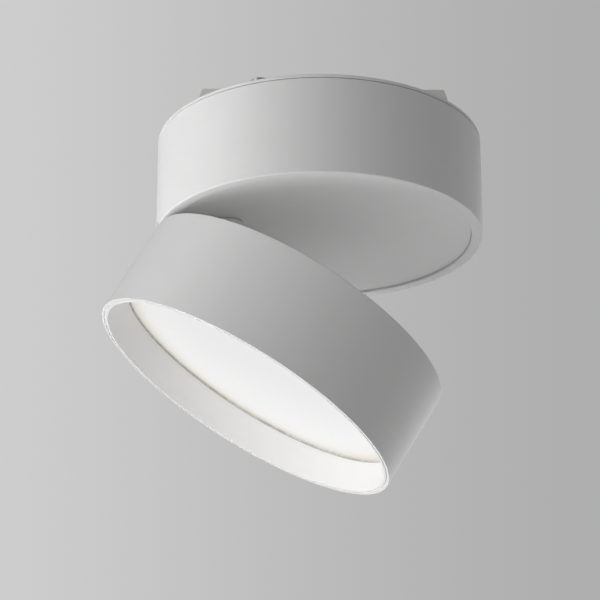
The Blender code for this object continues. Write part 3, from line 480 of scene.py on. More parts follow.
def solder_mask(name, mask, copper):
    """A circuit board: tracks stand a little proud under the mask and show lighter."""
    look = Look(name, mask, 0.3, specular=0.6)
    bricks = look.nodes.new("ShaderNodeTexBrick")
    second = tuple(channel * 0.92 for channel in mask)
    put(bricks, Scale=62.0, Mortar_Size=0.06)
    put(bricks, Color1=(*mask, 1.0), Color2=(*second, 1.0), Mortar=(*copper, 1.0))
    look.links.new(look.coordinates, bricks.inputs["Vector"])
    look.links.new(bricks.outputs["Color"], look.shader.inputs["Base Color"])
    look.gloss(look.noise(900.0, 2.0), 0.22, 0.4)
    look.bump(bricks.outputs["Fac"], 0.00004, 0.6)
    look.bump(look.noise(2600.0, 2.0), 0.00001, 0.4)
    return look.material


def phosphor():
    look = Look("led_phosphor", (0.93, 0.72, 0.16), 0.35, specular=0.5)
    look.tint(look.noise(2500.0, 3.0), 0.12)
    look.gloss(look.noise(3000.0, 2.0), 0.25, 0.4)
    look.bump(look.noise(5200.0, 3.0), 0.00001, 0.5)
    return look.material


GLOW = 0.66
POWDER = powder_coat()
# Painted light: a brighter copy of the white powder coat for the baffle's inside, standing in for the light
# that the lit diffuser throws on it
BAFFLE_WHITE_PAINTED_LIGHT = powder_coat("baffle_white_painted_light", (0.95, 0.945, 0.937))
WHITE_PLASTIC = moulded("white_plastic", (0.78, 0.78, 0.765), 0.46)
BLACK_PLASTIC = moulded("black_plastic", (0.028, 0.028, 0.03), 0.48)
CABLE = moulded("cable_sheath", (0.74, 0.74, 0.72), 0.5, 1500.0, 0.00003)
OPAL = opal()
RUBBER = rubber("black_rubber", (0.022, 0.022, 0.023))
SILICONE = rubber("grey_silicone", (0.86, 0.85, 0.83))
ZINC = zinc()
ALUMINIUM = extruded_aluminium()
COPPER = spring_copper()
BOARD_GREEN = solder_mask("green_mask", (0.02, 0.14, 0.055), (0.05, 0.26, 0.09))
BOARD_WHITE = solder_mask("white_mask", (0.84, 0.84, 0.82), (0.78, 0.78, 0.75))
PHOSPHOR = phosphor()

# ---- Adapter -------------------------------------------------------------------------------------


def adapter_housing():
    top, shoulder = -SEAT_RISE, -ADAPTER_SLOPE_DOWN
    left, right = ADAPTER_ENDS
    near, far = END_SEAT_X
    land, corner = 0.15 * MM, 0.7 * MM
    lands = [(far, top), (far, 0.0, land), (near, 0.0, land), (near, top)]
    lands += [(SEAT_HALF_LENGTH, top), (SEAT_HALF_LENGTH, 0.0, land)]
    side = [(right, ADAPTER_LOW), (right, shoulder, corner), (right - ADAPTER_SLOPE, top, corner), *lands]
    side += [(-x, *rest) for x, *rest in reversed(lands)]
    side += [(left + ADAPTER_SLOPE, top, corner), (left, shoulder, corner), (left, ADAPTER_LOW)]
    housing = slab("adapter_case", rounded(side), -ADAPTER_HALF_WIDTH, ADAPTER_HALF_WIDTH, upright=True)
    soften(housing, 0.5 * MM, angle=50)
    inset = ADAPTER_WALL + ADAPTER_SLOPE
    inner_y = ADAPTER_HALF_WIDTH - ADAPTER_WALL
    reach = math.sqrt(KNOB_RADIUS**2 - inner_y**2) + 0.6 * MM
    slot_y = ADAPTER_HALF_WIDTH + MM
    knob_low = KNOB_TOP - KNOB_THICKNESS
    low, high = (left + inset, -inner_y, ADAPTER_LOW - MM), (right - inset, inner_y, -ADAPTER_WALL)
    cutters = [box("inside", low, high)]
    for x in (LATCH_X, CONTACT_X):
        cutters.append(rod("tower_hole", x, 0.0, TOWER_RADIUS + GAP, -5 * MM, 5 * MM))
        low, high = (x - reach, -slot_y, knob_low - 0.4 * MM), (x + reach, slot_y, KNOB_TOP + 0.4 * MM)
        cutters.append(box("slot", low, high))
    combine(housing, cutters)
    boss_low = ADAPTER_LOW + ADAPTER_FLOOR + GAP
    combine(housing, [rod("boss", x, 0.0, 3.0 * MM, boss_low, -1.2 * MM) for x in FLOOR_SCREWS], "UNION")
    holes = [rod("hole", x, 0.0, 1.4 * MM, ADAPTER_LOW - MM, MM) for x in FLOOR_SCREWS]
    holes += [rod("sink", x, 0.0, 1.2 * MM, -2.1 * MM, -0.2 * MM, top=3.0 * MM) for x in FLOOR_SCREWS]
    combine(housing, holes)
    wear(housing, WHITE_PLASTIC, "adapter", "white_plastic", "adapter_housing")


def adapter_floor():
    low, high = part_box("adapter_floor")
    floor = soften(box("adapter_base", low, high), 0.25 * MM)
    through = (low.z - MM, high.z + MM)
    holes = [rod("hole", x, 0.0, 1.3 * MM, *through) for x in FLOOR_SCREWS]
    holes.append(rod("bush_hole", 0.0, 0.0, BUSH_RADIUS + GAP, *through))
    holes.append(rod("pin_hole", -STOP_RADIUS_AT, 0.0, 1.3 * MM, *through))
    combine(floor, holes)
    wear(floor, WHITE_PLASTIC, "adapter", "white_plastic", "adapter_floor")


def wire(name, points, radius, body, node):
    curve = bpy.data.curves.new(name, "CURVE")
    curve.dimensions = "3D"
    curve.bevel_depth = radius
    curve.bevel_resolution = 5
    curve.use_fill_caps = True
    spline = curve.splines.new("NURBS")
    spline.points.add(len(points) - 1)
    for point, position in zip(spline.points, points):
        point.co = (*position, 1.0)
    spline.use_endpoint_u = True
    spline.order_u = 3
    spline.resolution_u = 8
    wear(place(name, curve), CABLE, body, "cable", node)


def adapter_inside():
    block = ((-6 * MM, -8 * MM, -8 * MM), (6 * MM, 8 * MM, -2.1 * MM))
    terminal = soften(box("adapter_terminal_block", *block), 0.4 * MM)
    screw_wells = [rod("well", 3 * MM * side, 0.0, 1.4 * MM, -8.5 * MM, -6.5 * MM) for side in (-1, 1)]
    combine(terminal, screw_wells)
    wear(terminal, BLACK_PLASTIC, "adapter", "black_plastic", "adapter_terminal")
    for name, side in (("live_lead", 1), ("neutral_lead", -1)):
        route = [(6.4, 5.0 * side, -4.4), (11.0, 5.0 * side, -3.9)]
        route += [(16.0, 3.8 * side, -3.8), (20.4, 3.0 * side, -3.8)]
        wire(name + "_wire", scaled(route), 0.8 * MM, "adapter", name)
    strip = [(-4.0, 0.35), (4.0, 0.35), (5.2, 3.6), (4.4, 3.9)]
    strip += [(3.4, 1.15), (-3.4, 1.15), (-4.4, 3.9), (-5.2, 3.6)]
    fillets = (0.8, 0.8, 0.15, 0.15, 0.5, 0.5, 0.15, 0.15)
    outline = rounded(scaled([(x, z, fillet) for (x, z), fillet in zip(strip, fillets)]))
    spring = slab("earth_spring", outline, -2.0 * MM, 2.0 * MM, upright=True)
    soften(spring, 0.12 * MM, 2, 50)
    at = Matrix.Translation((EARTH_CONTACT_X, 0.0, -SEAT_RISE))
    wear(spring, COPPER, "adapter", "copper", "earth_contact", at=at)
    low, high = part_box("swivel_bush")
    flange, bore = ADAPTER_LOW - GAP, 5.3 * MM
    bush = [(BUSH_RADIUS, high.z, 0.3 * MM), (BUSH_RADIUS, flange), (high.x, flange, 0.1 * MM)]
    bush += [(high.x, low.z, 0.1 * MM), (bore, low.z, 0.1 * MM), (bore, high.z, 0.2 * MM)]
    piece = turned("swivel_bearing", bush)
    wear(piece, BLACK_PLASTIC, "adapter", "black_plastic", "swivel_bush")
    low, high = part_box("stop_pin")
    pin = [(0.0, high.z), (MM, high.z, 0.3 * MM), (MM, low.z, 0.3 * MM), (0.0, low.z)]
    piece = turned("stop_dowel", pin, (-STOP_RADIUS_AT, 0.0, 0.0), SMALL_STEPS)
    wear(piece, ZINC, "adapter", "steel", "stop_pin")


def knurl(radius, height, angle):
    """Shallow rounded flutes round a thumb wheel's rim."""
    if radius < KNOB_RADIUS - 1.0 * MM:
        return 0.0
    return -KNURL_DEPTH * (0.5 + 0.5 * math.cos(KNURLS * angle)) ** 2


def knob_profile(top):
    low = KNOB_TOP - KNOB_THICKNESS
    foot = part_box("latch_knob")[0].z
    chamfer = 0.8 * MM
    return [
        (0.0, top),
        (TOWER_RADIUS, top, 0.5 * MM),
        (TOWER_RADIUS, KNOB_TOP, 0.4 * MM),
        (KNOB_RADIUS - chamfer, KNOB_TOP, 0.3 * MM),
        (KNOB_RADIUS, KNOB_TOP - chamfer, 0.3 * MM),
        (KNOB_RADIUS, low + chamfer, 0.3 * MM),
        (KNOB_RADIUS - chamfer, low, 0.3 * MM),
        (4.0 * MM, low, 0.4 * MM),
        (4.0 * MM, foot, 0.3 * MM),
        (0.0, foot),
    ]


def latch():
    knob = turned("latch_wheel", knob_profile(5.0 * MM), steps=KNURL_STEPS, shape=knurl)
    combine(knob, [rod("hole", 0.0, 0.0, 1.5 * MM, -3.0 * MM, 6.0 * MM)])
    wear(knob, WHITE_PLASTIC, "latch", "white_plastic", "latch_knob")
    half, end = 4.0 * MM, 12.0 * MM
    corners = [(half, -end), (half, end), (-half, end), (-half, -end)]
    outline = rounded([(x, y, half * 0.98) for x, y in corners], count=14)
    lug = soften(slab("latch_bar", outline, 5.4 * MM, 7.8 * MM), 0.3 * MM, angle=50)
    combine(lug, [rod("hole", 0.0, 0.0, 1.6 * MM, 4.0 * MM, 9.0 * MM)])
    wear(lug, ZINC, "latch", "steel", "latch_lug")
    profile = [(0.0, 9.1), (2.6, 9.1, 0.3), (2.6, 8.1, 0.1), (1.2, 8.1), (1.2, -2.5, 0.3), (0.0, -2.5)]
    screw = turned("latch_bolt", scaled(profile), steps=SMALL_STEPS)
    combine(screw, cross_recess(0.0, 0.0, 9.1 * MM, 1.6 * MM, 1))
    wear(screw, ZINC, "latch", "steel", "latch_screw")


def contact_tower():
    knob = turned("contact_wheel", knob_profile(9.0 * MM), steps=KNURL_STEPS, shape=knurl)
    wear(knob, BLACK_PLASTIC, "contacts", "black_plastic", "contact_knob")
    inner, thick, tip = 6.2, 0.9, 12.3
    outline = [
        (inner, 3.5, 0.1),
        (inner + thick, 3.5, 0.1),
        (inner + thick, 6.0, 0.3),
        (tip, 6.0, 0.4),
        (tip, 6.0 + thick, 0.4),
        (inner + thick, 6.0 + thick, 0.3),
        (inner + thick, 8.5, 0.1),
        (inner, 8.5, 0.1),
    ]
    for name, side in (("live_contact", 1), ("neutral_contact", -1)):
        blade = slab(name + "_blade", rounded(scaled(outline)), -1.6 * MM, 1.6 * MM, upright=True)
        soften(blade, 0.12 * MM, 2, 50)
        turn = Matrix.Rotation(math.radians(90 * side), 4, "Z")
        wear(blade, COPPER, "contacts", "copper", name, at=FRAMES["contacts"] @ turn)


# ---- Fasteners -----------------------------------------------------------------------------------


def cross_recess(x, y, face, reach, side):
    """Cutters for a screw's cross recess, tapering in from the face. side is +1 when the face looks up."""
    deep, arm = reach * 0.85, reach * 0.2
    low, high = sorted((face - side * deep, face + side * deep * 0.4))
    cutters = []
    for across in (False, True):
        size = (reach, arm) if across else (arm, reach)
        cutters.append(box("arm", (x - size[0], y - size[1], low), (x + size[0], y + size[1], high)))
    return cutters


def local_box(node, body):
    """A CAD node's corners in its body's frame."""
    back = FRAMES[body].inverted()
    points = [back @ vertex.co for vertex in frame["nodes"][node].data.vertices]
    low = Vector(min(point[i] for point in points) for i in range(3))
    return low, Vector(max(point[i] for point in points) for i in range(3))


def screw(node, body, side, shank, countersunk=True):
    """A cross-head screw in its CAD node's place. side is +1 when its head is at the top."""
    low, high = local_box(node, body)
    x, y = (low.x + high.x) / 2, (low.y + high.y) / 2
    head = (high.y - low.y) / 2
    face, tip = (high.z, low.z) if side > 0 else (low.z, high.z)
    neck = face - side * (head - shank if countersunk else 1.4 * MM)
    pitch, depth = 0.5 * MM, 0.16 * MM
    profile = [(0.0, face), (head, face, 0.12 * MM)]
    if not countersunk:
        profile.append((head, neck, 0.1 * MM))
    profile.append((shank, neck))
    turns = max(1, int(abs(tip - neck) / pitch) - 1)
    for i in range(turns):
        start = neck - side * (i + 0.5) * pitch
        profile += [(shank, start), (shank - depth, start - side * pitch / 2)]
    profile += [(shank * 0.8, tip), (0.0, tip)]
    piece = turned(node + "_body", profile, (x, y, 0.0), SMALL_STEPS)
    combine(piece, cross_recess(x, y, face, head * 0.62, side))
    wear(piece, ZINC, body, "steel", node)


def fasteners():
    for number in (1, 2):
        screw(f"floor_screw_{number}", "adapter", 1, 1.0 * MM)
        screw(f"base_leaf_screw_{number}", "base", -1, 1.1 * MM)
        screw(f"head_leaf_screw_{number}", "head", 1, 1.1 * MM)
    for number in (1, 2, 3):
        screw(f"cover_screw_{number}", "base", 1, 1.2 * MM)
        screw(f"head_screw_{number}", "head", 1, 0.8 * MM)
        screw(f"board_screw_{number}", "head", -1, 1.2 * MM, countersunk=False)


# ---- Swivel --------------------------------------------------------------------------------------


def swivel():
    stem = [
        (5.0, 11.5, 0.3),
        (5.0, -1.8, 0.3),
        (11.0, -1.8, 0.2),
        (11.0, -3.8, 0.2),
        (3.3, -3.8, 0.3),
        (3.3, 11.5, 0.2),
    ]
    made = turned("swivel_tube", scaled(stem))
    rivets = ring_places(2, RIVET_RADIUS_AT, 90)
    combine(made, [rod("hole", x, y, 1.5 * MM, -5 * MM, -MM) for x, y in rivets])
    wear(made, ZINC, "base", "steel", "swivel_stem")
    profile = [(0, -0.2), (1.9, -0.2, 0.1), (1.2, -1.0), (1.2, -4.1)]
    profile += [(2.0, -4.1, 0.2), (2.0, -4.8, 0.4), (0, -4.8)]
    for number, (x, y) in enumerate(rivets, 1):
        rivet = turned(f"rivet_{number}", scaled(profile), (x, y, 0.0), SMALL_STEPS)
        wear(rivet, ZINC, "base", "steel", f"stem_rivet_{number}")
    washer = turned("tabbed_washer", scaled(band(8.4, 5.3, 4.7, 3.7, 0.15)))
    tab = box("tab", (7.0 * MM, -1.25 * MM, 3.7 * MM), (12.6 * MM, 1.25 * MM, 4.7 * MM))
    combine(washer, [soften(tab, 0.15 * MM)], "UNION")
    wear(washer, ZINC, "base", "steel", "stop_washer")
    spring = turned("wave_washer", scaled(band(8.2, 5.3, 5.8, 5.0, 0.1)))
    wear(spring, ZINC, "base", "steel", "spring_washer")
    nut = slab("lock_nut", ring_places(6, 8.0 * MM), 6.1 * MM, 10.1 * MM)
    crown = [(0.0, 10.1), (7.2, 10.1), (8.4, 9.4), (8.4, 6.8), (7.2, 6.1), (0.0, 6.1)]
    combine(nut, [turned("crown", scaled(crown))], "INTERSECT")
    combine(nut, [rod("bore", 0.0, 0.0, 5.3 * MM, 5 * MM, 12 * MM)])
    wear(nut, ZINC, "base", "steel", "stem_nut")


# ---- Base drum -----------------------------------------------------------------------------------


def below(top, profile):
    """Profile points of (radius, depth, fillet) as heights below a drum's top."""
    return [(radius, top - depth, *rest) for radius, depth, *rest in profile]


def base_lid():
    outer, spigot = RADIUS - WALL - 0.5 * MM, 2.0 * MM
    profile = [
        (RADIUS, 0.0, EDGE),
        (RADIUS, SHEET, 0.12 * MM),
        (outer, SHEET, 0.1 * MM),
        (outer, SHEET + spigot, 0.2 * MM),
        (outer - 1.4 * MM, SHEET + spigot, 0.2 * MM),
        (outer - 1.4 * MM, SHEET, 0.1 * MM),
        (5.3 * MM, SHEET, 0.1 * MM),
        (5.3 * MM, 0.0, 0.1 * MM),
    ]
    lid = turned("drum_lid", below(0.0, profile), steps=DRUM_STEPS)
    holes = []
    for x, y in ring_places(3, PILLAR_RADIUS_AT):
        holes.append(rod("hole", x, y, 1.8 * MM, -3 * MM, MM))
        holes.append(rod("sink", x, y, 1.5 * MM, -1.3 * MM, 0.2 * MM, top=3.3 * MM))
    for x, y in ring_places(2, RIVET_RADIUS_AT, 90):
        holes.append(rod("hole", x, y, 1.5 * MM, -3 * MM, MM))
        holes.append(rod("sink", x, y, 1.3 * MM, -1.1 * MM, 0.2 * MM, top=2.6 * MM))
    combine(lid, holes, solver="MANIFOLD")
    wear(lid, POWDER, "base", "white_paint", "base_cover")


def hinge_clearance(x, z, lip_side):
    """Cutters that clear the hinge barrel out of a drum's rim, and relieve the rim beyond the hinge line."""
    barrel = rod("barrel", x, z, KNUCKLE_CLEAR, -HINGE_NOTCH_HALF, HINGE_NOTCH_HALF, "Y")
    low, high = sorted((-0.2 * MM * lip_side, 2.4 * MM * lip_side))
    neck_half = HINGE_NOTCH_HALF if lip_side > 0 else OUTER_KNUCKLE_START
    neck = box("neck", (x - 5 * MM, -neck_half, z + low), (x + 6 * MM, neck_half, z + high))
    reach = 6.0 * MM
    rise = reach * math.tan(FULL_OPEN / 2 + math.radians(0.5)) * lip_side
    wedge = [(x, z), (x - reach, z + rise), (x - reach, z - 3 * MM * lip_side), (x, z - 3 * MM * lip_side)]
    return [barrel, neck, slab("relief", wedge, -30 * MM, 30 * MM, upright=True)]


def base_wall():
    inner = RADIUS - WALL
    profile = [
        (RADIUS, SHEET + GAP, 0.3 * MM),
        (RADIUS, DRUM_HEIGHT, EDGE),
        (RIM_INNER, DRUM_HEIGHT, EDGE),
        (RIM_INNER, DRUM_HEIGHT - LIP_HEIGHT, 0.2 * MM),
        (inner, DRUM_HEIGHT - LIP_HEIGHT, 0.2 * MM),
        (inner, SHEET + GAP, 0.2 * MM),
    ]
    wall = turned("drum_wall", below(0.0, profile), steps=DRUM_STEPS)
    combine(wall, hinge_clearance(HINGE.x, HINGE.z - BASE_TOP, 1))
    wear(wall, POWDER, "base", "white_paint", "base_shell")


def base_underside():
    face = DRUM_HEIGHT - RECESS
    flange = DRUM_HEIGHT - LIP_HEIGHT - GAP
    disc = RIM_INNER - UNDERSIDE_GAP
    rim = RADIUS - WALL - 0.4 * MM
    profile = [
        (0.0, face - SHEET),
        (PLATE_INNER, face - SHEET, 0.3 * MM),
        (PLATE_INNER, flange - SHEET, 0.3 * MM),
        (rim, flange - SHEET, 0.2 * MM),
        (rim, flange, 0.2 * MM),
        (disc, flange, 0.1 * MM),
        (disc, face, 0.08 * MM),
        (0.0, face),
    ]
    made = turned("drum_underside", below(0.0, profile), steps=DRUM_STEPS)
    pillars = ring_places(3, PILLAR_RADIUS_AT)
    low, top = SHEET / 2 - face, -SHEET - GAP
    combine(made, [rod("pillar", x, y, PILLAR_RADIUS, low, top) for x, y in pillars], "UNION", "MANIFOLD")
    holes = [rod("bore", x, y, 1.6 * MM, -16 * MM, top + MM) for x, y in pillars]
    holes += [rod("leaf_hole", x, y, 1.6 * MM, -50 * MM, -40 * MM) for x, y in BASE_LEAF_SCREWS]
    holes.append(rod("grommet_hole", GROMMET_X, 0.0, 3.8 * MM, -50 * MM, -40 * MM))
    half = HINGE_NOTCH_HALF
    holes.append(rod("knuckle", HINGE.x, HINGE.z - BASE_TOP, KNUCKLE_CLEAR, -half, half, "Y"))
    combine(made, holes, solver="MANIFOLD")
    wear(made, POWDER, "base", "white_paint", "base_plate")


def driver():
    """Tray, board and the parts on it, each in its CAD node's box."""
    tray_low, tray_high = local_box("driver_tray", "base")
    tray = soften(box("driver_box", tray_low, tray_high), 0.6 * MM)
    wall = Vector((1.5, 1.5, 1.5)) * MM
    well = tray_high - Vector((wall.x, wall.y, -MM))
    combine(tray, [box("inside", tray_low + wall, well)])
    rail_top = tray_low.z + 4.2 * MM
    rails = []
    for y in (-15 * MM, 15 * MM):
        low = (tray_low.x + 10 * MM, y - 1.5 * MM, tray_low.z + wall.z / 2)
        rails.append(box("rail", low, (tray_high.x - 10 * MM, y + 1.5 * MM, rail_top)))
    combine(tray, rails, "UNION")
    wear(tray, BLACK_PLASTIC, "base", "black_plastic", "driver_tray")
    board = soften(box("driver_circuit", *local_box("driver_board", "base")), 0.15 * MM, 2)
    wear(board, BOARD_GREEN, "base", "circuit_board", "driver_board")
    low, high = local_box("transformer", "base")
    block = soften(box("transformer_block", low, high), 1.2 * MM)
    middle, third = (low.z + high.z) / 2, (high.z - low.z) / 3
    grooves = []
    for side in (-1, 1):
        edge = high.y if side > 0 else low.y
        near, far = sorted((edge - side * 1.2 * MM, edge + side * MM))
        start, end = (low.x + 4 * MM, near, middle - third), (high.x - 4 * MM, far, middle + third)
        grooves.append(box("winding", start, end))
    combine(block, grooves)
    wear(block, BLACK_PLASTIC, "base", "black_plastic", "transformer")
    for number in (1, 2):
        node = f"capacitor_{number}"
        low, high = local_box(node, "base")
        radius, height = (high.x - low.x) / 2, high.z - low.z
        can = [
            (0.0, height - 0.3 * MM),
            (radius * 0.8, height - 0.3 * MM),
            (radius * 0.84, height, 0.1 * MM),
            (radius, height, 0.5 * MM),
            (radius, height * 0.2, 0.4 * MM),
            (radius * 0.94, height * 0.15, 0.4 * MM),
            (radius, height * 0.1, 0.4 * MM),
            (radius, 0.0, 0.3 * MM),
            (0.0, 0.0),
        ]
        middle = ((low.x + high.x) / 2, (low.y + high.y) / 2, low.z)
        piece = turned(f"capacitor_can_{number}", can, middle)
        wear(piece, BLACK_PLASTIC, "base", "black_plastic", node)
    low, high = local_box("supply_terminal", "base")
    block = soften(box("supply_block", low, high), 0.4 * MM)
    wells = []
    for x in (low.x + 2.2 * MM, high.x - 2.2 * MM):
        for y in (low.y + 3.2 * MM, high.y - 3.2 * MM):
            wells.append(rod("well", x, y, 1.3 * MM, high.z - 3 * MM, high.z + MM))
    combine(block, wells)
    wear(block, WHITE_PLASTIC, "base", "white_plastic", "supply_terminal")
    route = [(0, 0, 11.7), (0, 0, 0), (0, 0, -4), (2.5, 0, -9), (14, 0, -14), (27, 0, -16), (34, 0, -21)]
    end = (35 * MM, 0.0, high.z + 0.3 * MM)
    wire("supply_cable", scaled(route) + [end], 2.5 * MM, "base", "supply_lead")


def grommet(name, x, face, side, body, node):
    far = face + side * (SHEET + GAP)
    near = face - side * RECESS
    flange = far + side * MM
    ring = [
        (3.5 * MM, near, 0.2 * MM),
        (3.5 * MM, far),
        (5.2 * MM, far, 0.2 * MM),
        (5.2 * MM, flange, 0.4 * MM),
        (2.0 * MM, flange, 0.4 * MM),
        (2.0 * MM, near, 0.4 * MM),
    ]
    wear(turned(name, ring, (x, 0.0, 0.0)), RUBBER, body, "rubber", node)


# ---- Hinge ---------------------------------------------------------------------------------------


def leaf_holes(places, face, side):
    """Cutters for countersunk holes that open at a leaf's outer face."""
    low, high = sorted((face - side * 0.2 * MM, face + side * 1.1 * MM))
    bottom, top = (2.9 * MM, 1.3 * MM) if side > 0 else (1.3 * MM, 2.9 * MM)
    cutters = []
    for x, y in places:
        cutters.append(rod("hole", x, y, 1.5 * MM, face - 3 * MM, face + 3 * MM))
        cutters.append(rod("sink", x, y, bottom, low, high, top=top))
    return cutters


def base_leaf():
    x, z = HINGE.x, HINGE.z - BASE_TOP
    top = -(DRUM_HEIGHT - RECESS) - GAP
    neck, wide, corner = HINGE_HALF - GAP, 22.3 * MM, 4.5 * MM
    start, shoulder, end = x + 2.0 * MM, -59.5 * MM, -34.2 * MM
    upper = [(end, wide, corner), (shoulder, wide, 2.5 * MM), (-63.0 * MM, neck, MM), (start, neck)]
    lower = [(px, -py, *rest) for px, py, *rest in reversed(upper)]
    leaf = slab("fixed_leaf", rounded(lower + upper), top - LEAF, top)
    soften(leaf, 0.2 * MM, 2, 50)
    barrel = rod("barrel", x, z, KNUCKLE_RADIUS, -HINGE_HALF, HINGE_HALF, "Y")
    combine(leaf, [barrel], "UNION")
    trim = rod("trim", 0.0, 0.0, RADIUS - 0.1 * MM, -60 * MM, -30 * MM, steps=DRUM_STEPS)
    combine(leaf, [trim], "INTERSECT")
    low = (x - 6 * MM, -OUTER_KNUCKLE_START, z - 6 * MM)
    room = box("room", low, (x + 4.6 * MM, OUTER_KNUCKLE_START, z + 6 * MM))
    bore = rod("bore", x, z, PIN_BORE, -20 * MM, 20 * MM, "Y")
    combine(leaf, [room, bore])
    holes = leaf_holes(BASE_LEAF_SCREWS, top - LEAF, 1)
    holes.append(rod("grommet_hole", GROMMET_X, 0.0, 4.2 * MM, -50 * MM, -40 * MM))
    combine(leaf, holes)
    wear(leaf, POWDER, "base", "white_paint", "hinge_base_leaf")


def head_leaf():
    low = HEAD_TOP - RECESS + GAP
    neck, wide, corner = MIDDLE_KNUCKLE_HALF - GAP, 22.0 * MM, 4.0 * MM
    start, shoulder, end = 2.0 * MM, 5.0 * MM, 29.0 * MM
    upper = [(end, wide, corner), (9.0 * MM, wide, 2.0 * MM), (shoulder, 11.0 * MM, MM)]
    upper += [(shoulder, neck), (start, neck)]
    lower = [(x, -y, *rest) for x, y, *rest in reversed(upper)]
    leaf = slab("moving_leaf", rounded(lower + upper), low, low + LEAF)
    soften(leaf, 0.2 * MM, 2, 50)
    half = MIDDLE_KNUCKLE_HALF
    combine(leaf, [rod("knuckle", 0.0, 0.0, KNUCKLE_RADIUS, -half, half, "Y")], "UNION")
    combine(leaf, [rod("bore", 0.0, 0.0, PIN_BORE, -20 * MM, 20 * MM, "Y")])
    holes = leaf_holes(HEAD_LEAF_SCREWS, low + LEAF, -1)
    holes.append(rod("grommet_hole", HEAD_GROMMET_X, 0.0, 4.2 * MM, -5 * MM, 5 * MM))
    combine(leaf, holes)
    wear(leaf, POWDER, "head", "white_paint", "hinge_head_leaf")


def hinge_pin():
    at = (HINGE.x, 0.0, HINGE.z - BASE_TOP)
    half, head, radius = HINGE_HALF + GAP, 0.7 * MM, 1.25 * MM
    profile = [
        (0.0, half + head),
        (1.9 * MM, half + head, 0.5 * MM),
        (1.9 * MM, half, 0.1 * MM),
        (radius, half),
        (radius, -half),
        (1.9 * MM, -half, 0.1 * MM),
        (1.9 * MM, -half - head, 0.5 * MM),
        (0.0, -half - head),
    ]
    wear(turned("pin", profile, at, PART_STEPS, "Y"), ZINC, "base", "steel", "hinge_pin")
    for number in (1, 2):
        node = f"hinge_washer_{number}"
        low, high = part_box(node)
        ring = band(2.9 * MM, PIN_BORE, high.y, low.y, 0.15 * MM)
        piece = turned(f"friction_washer_{number}", ring, at, PART_STEPS, "Y")
        wear(piece, ZINC, "base", "steel", node)


# ---- LED head ------------------------------------------------------------------------------------


def head_turned(name, profile):
    return turned(name, below(HEAD_TOP, profile), (AXIS_X, 0.0, 0.0), DRUM_STEPS)


def head_rod(place_at, radius, shallow, deep, top=None):
    x, y = place_at
    return rod("cutter", x, y, radius, HEAD_TOP - deep, HEAD_TOP - shallow, top=top)


def head_ring(count, radius):
    return ring_places(count, radius, 0, AXIS_X)


def head_wall():
    inner, ring = RADIUS - HEAD_WALL, RADIUS - RIM_RING
    profile = [
        (RADIUS, 0.0, EDGE),
        (RADIUS, DRUM_HEIGHT, 0.2 * MM),
        (ring, DRUM_HEIGHT, 0.1 * MM),
        (ring, DRUM_HEIGHT - GROOVE_DEPTH, 0.08 * MM),
        (inner, DRUM_HEIGHT - GROOVE_DEPTH, 0.02 * MM),
        (inner, LIP_HEIGHT, 0.2 * MM),
        (RIM_INNER, LIP_HEIGHT, 0.2 * MM),
        (RIM_INNER, 0.0, EDGE),
    ]
    wall = head_turned("head_drum_wall", profile)
    combine(wall, hinge_clearance(0.0, 0.0, -1))
    holes = []
    for at in head_ring(3, HEAD_SCREW_RADIUS_AT):
        holes.append(head_rod(at, 1.1 * MM, -MM, LIP_HEIGHT + MM))
        holes.append(head_rod(at, 0.9 * MM, -0.2 * MM, 1.3 * MM, 2.2 * MM))
    combine(wall, holes)
    wear(wall, POWDER, "head", "white_paint", "head_shell")


def head_lid():
    disc, flange = RIM_INNER - GAP, LIP_HEIGHT + GAP
    rim = RADIUS - HEAD_WALL - 0.4 * MM
    profile = [
        (0.0, RECESS),
        (disc, RECESS, 0.3 * MM),
        (disc, flange, 0.1 * MM),
        (rim, flange, 0.2 * MM),
        (rim, flange + SHEET, 0.2 * MM),
        (PLATE_INNER, flange + SHEET, 0.2 * MM),
        (PLATE_INNER, RECESS + SHEET, 0.2 * MM),
        (0.0, RECESS + SHEET),
    ]
    made = head_turned("head_lid", profile)
    pillars = head_ring(3, BOARD_PILLAR_RADIUS_AT)
    start, end = RECESS + SHEET / 2, SINK_DEPTH - GAP
    combine(made, [head_rod(at, PILLAR_RADIUS, start, end) for at in pillars], "UNION", "MANIFOLD")
    holes = [head_rod(at, 1.5 * MM, 9 * MM, 20 * MM) for at in pillars]
    holes += [head_rod(at, 1.1 * MM, MM, 8 * MM) for at in head_ring(3, HEAD_SCREW_RADIUS_AT)]
    holes += [head_rod(at, 1.5 * MM, 0.0, 8 * MM) for at in HEAD_LEAF_SCREWS]
    holes.append(head_rod((HEAD_GROMMET_X, 0.0), 3.8 * MM, 0.0, 8 * MM))
    holes.append(rod("knuckle", 0.0, 0.0, KNUCKLE_CLEAR, -HINGE_NOTCH_HALF, HINGE_NOTCH_HALF, "Y"))
    combine(made, holes, solver="MANIFOLD")
    wear(made, POWDER, "head", "white_paint", "head_plate")


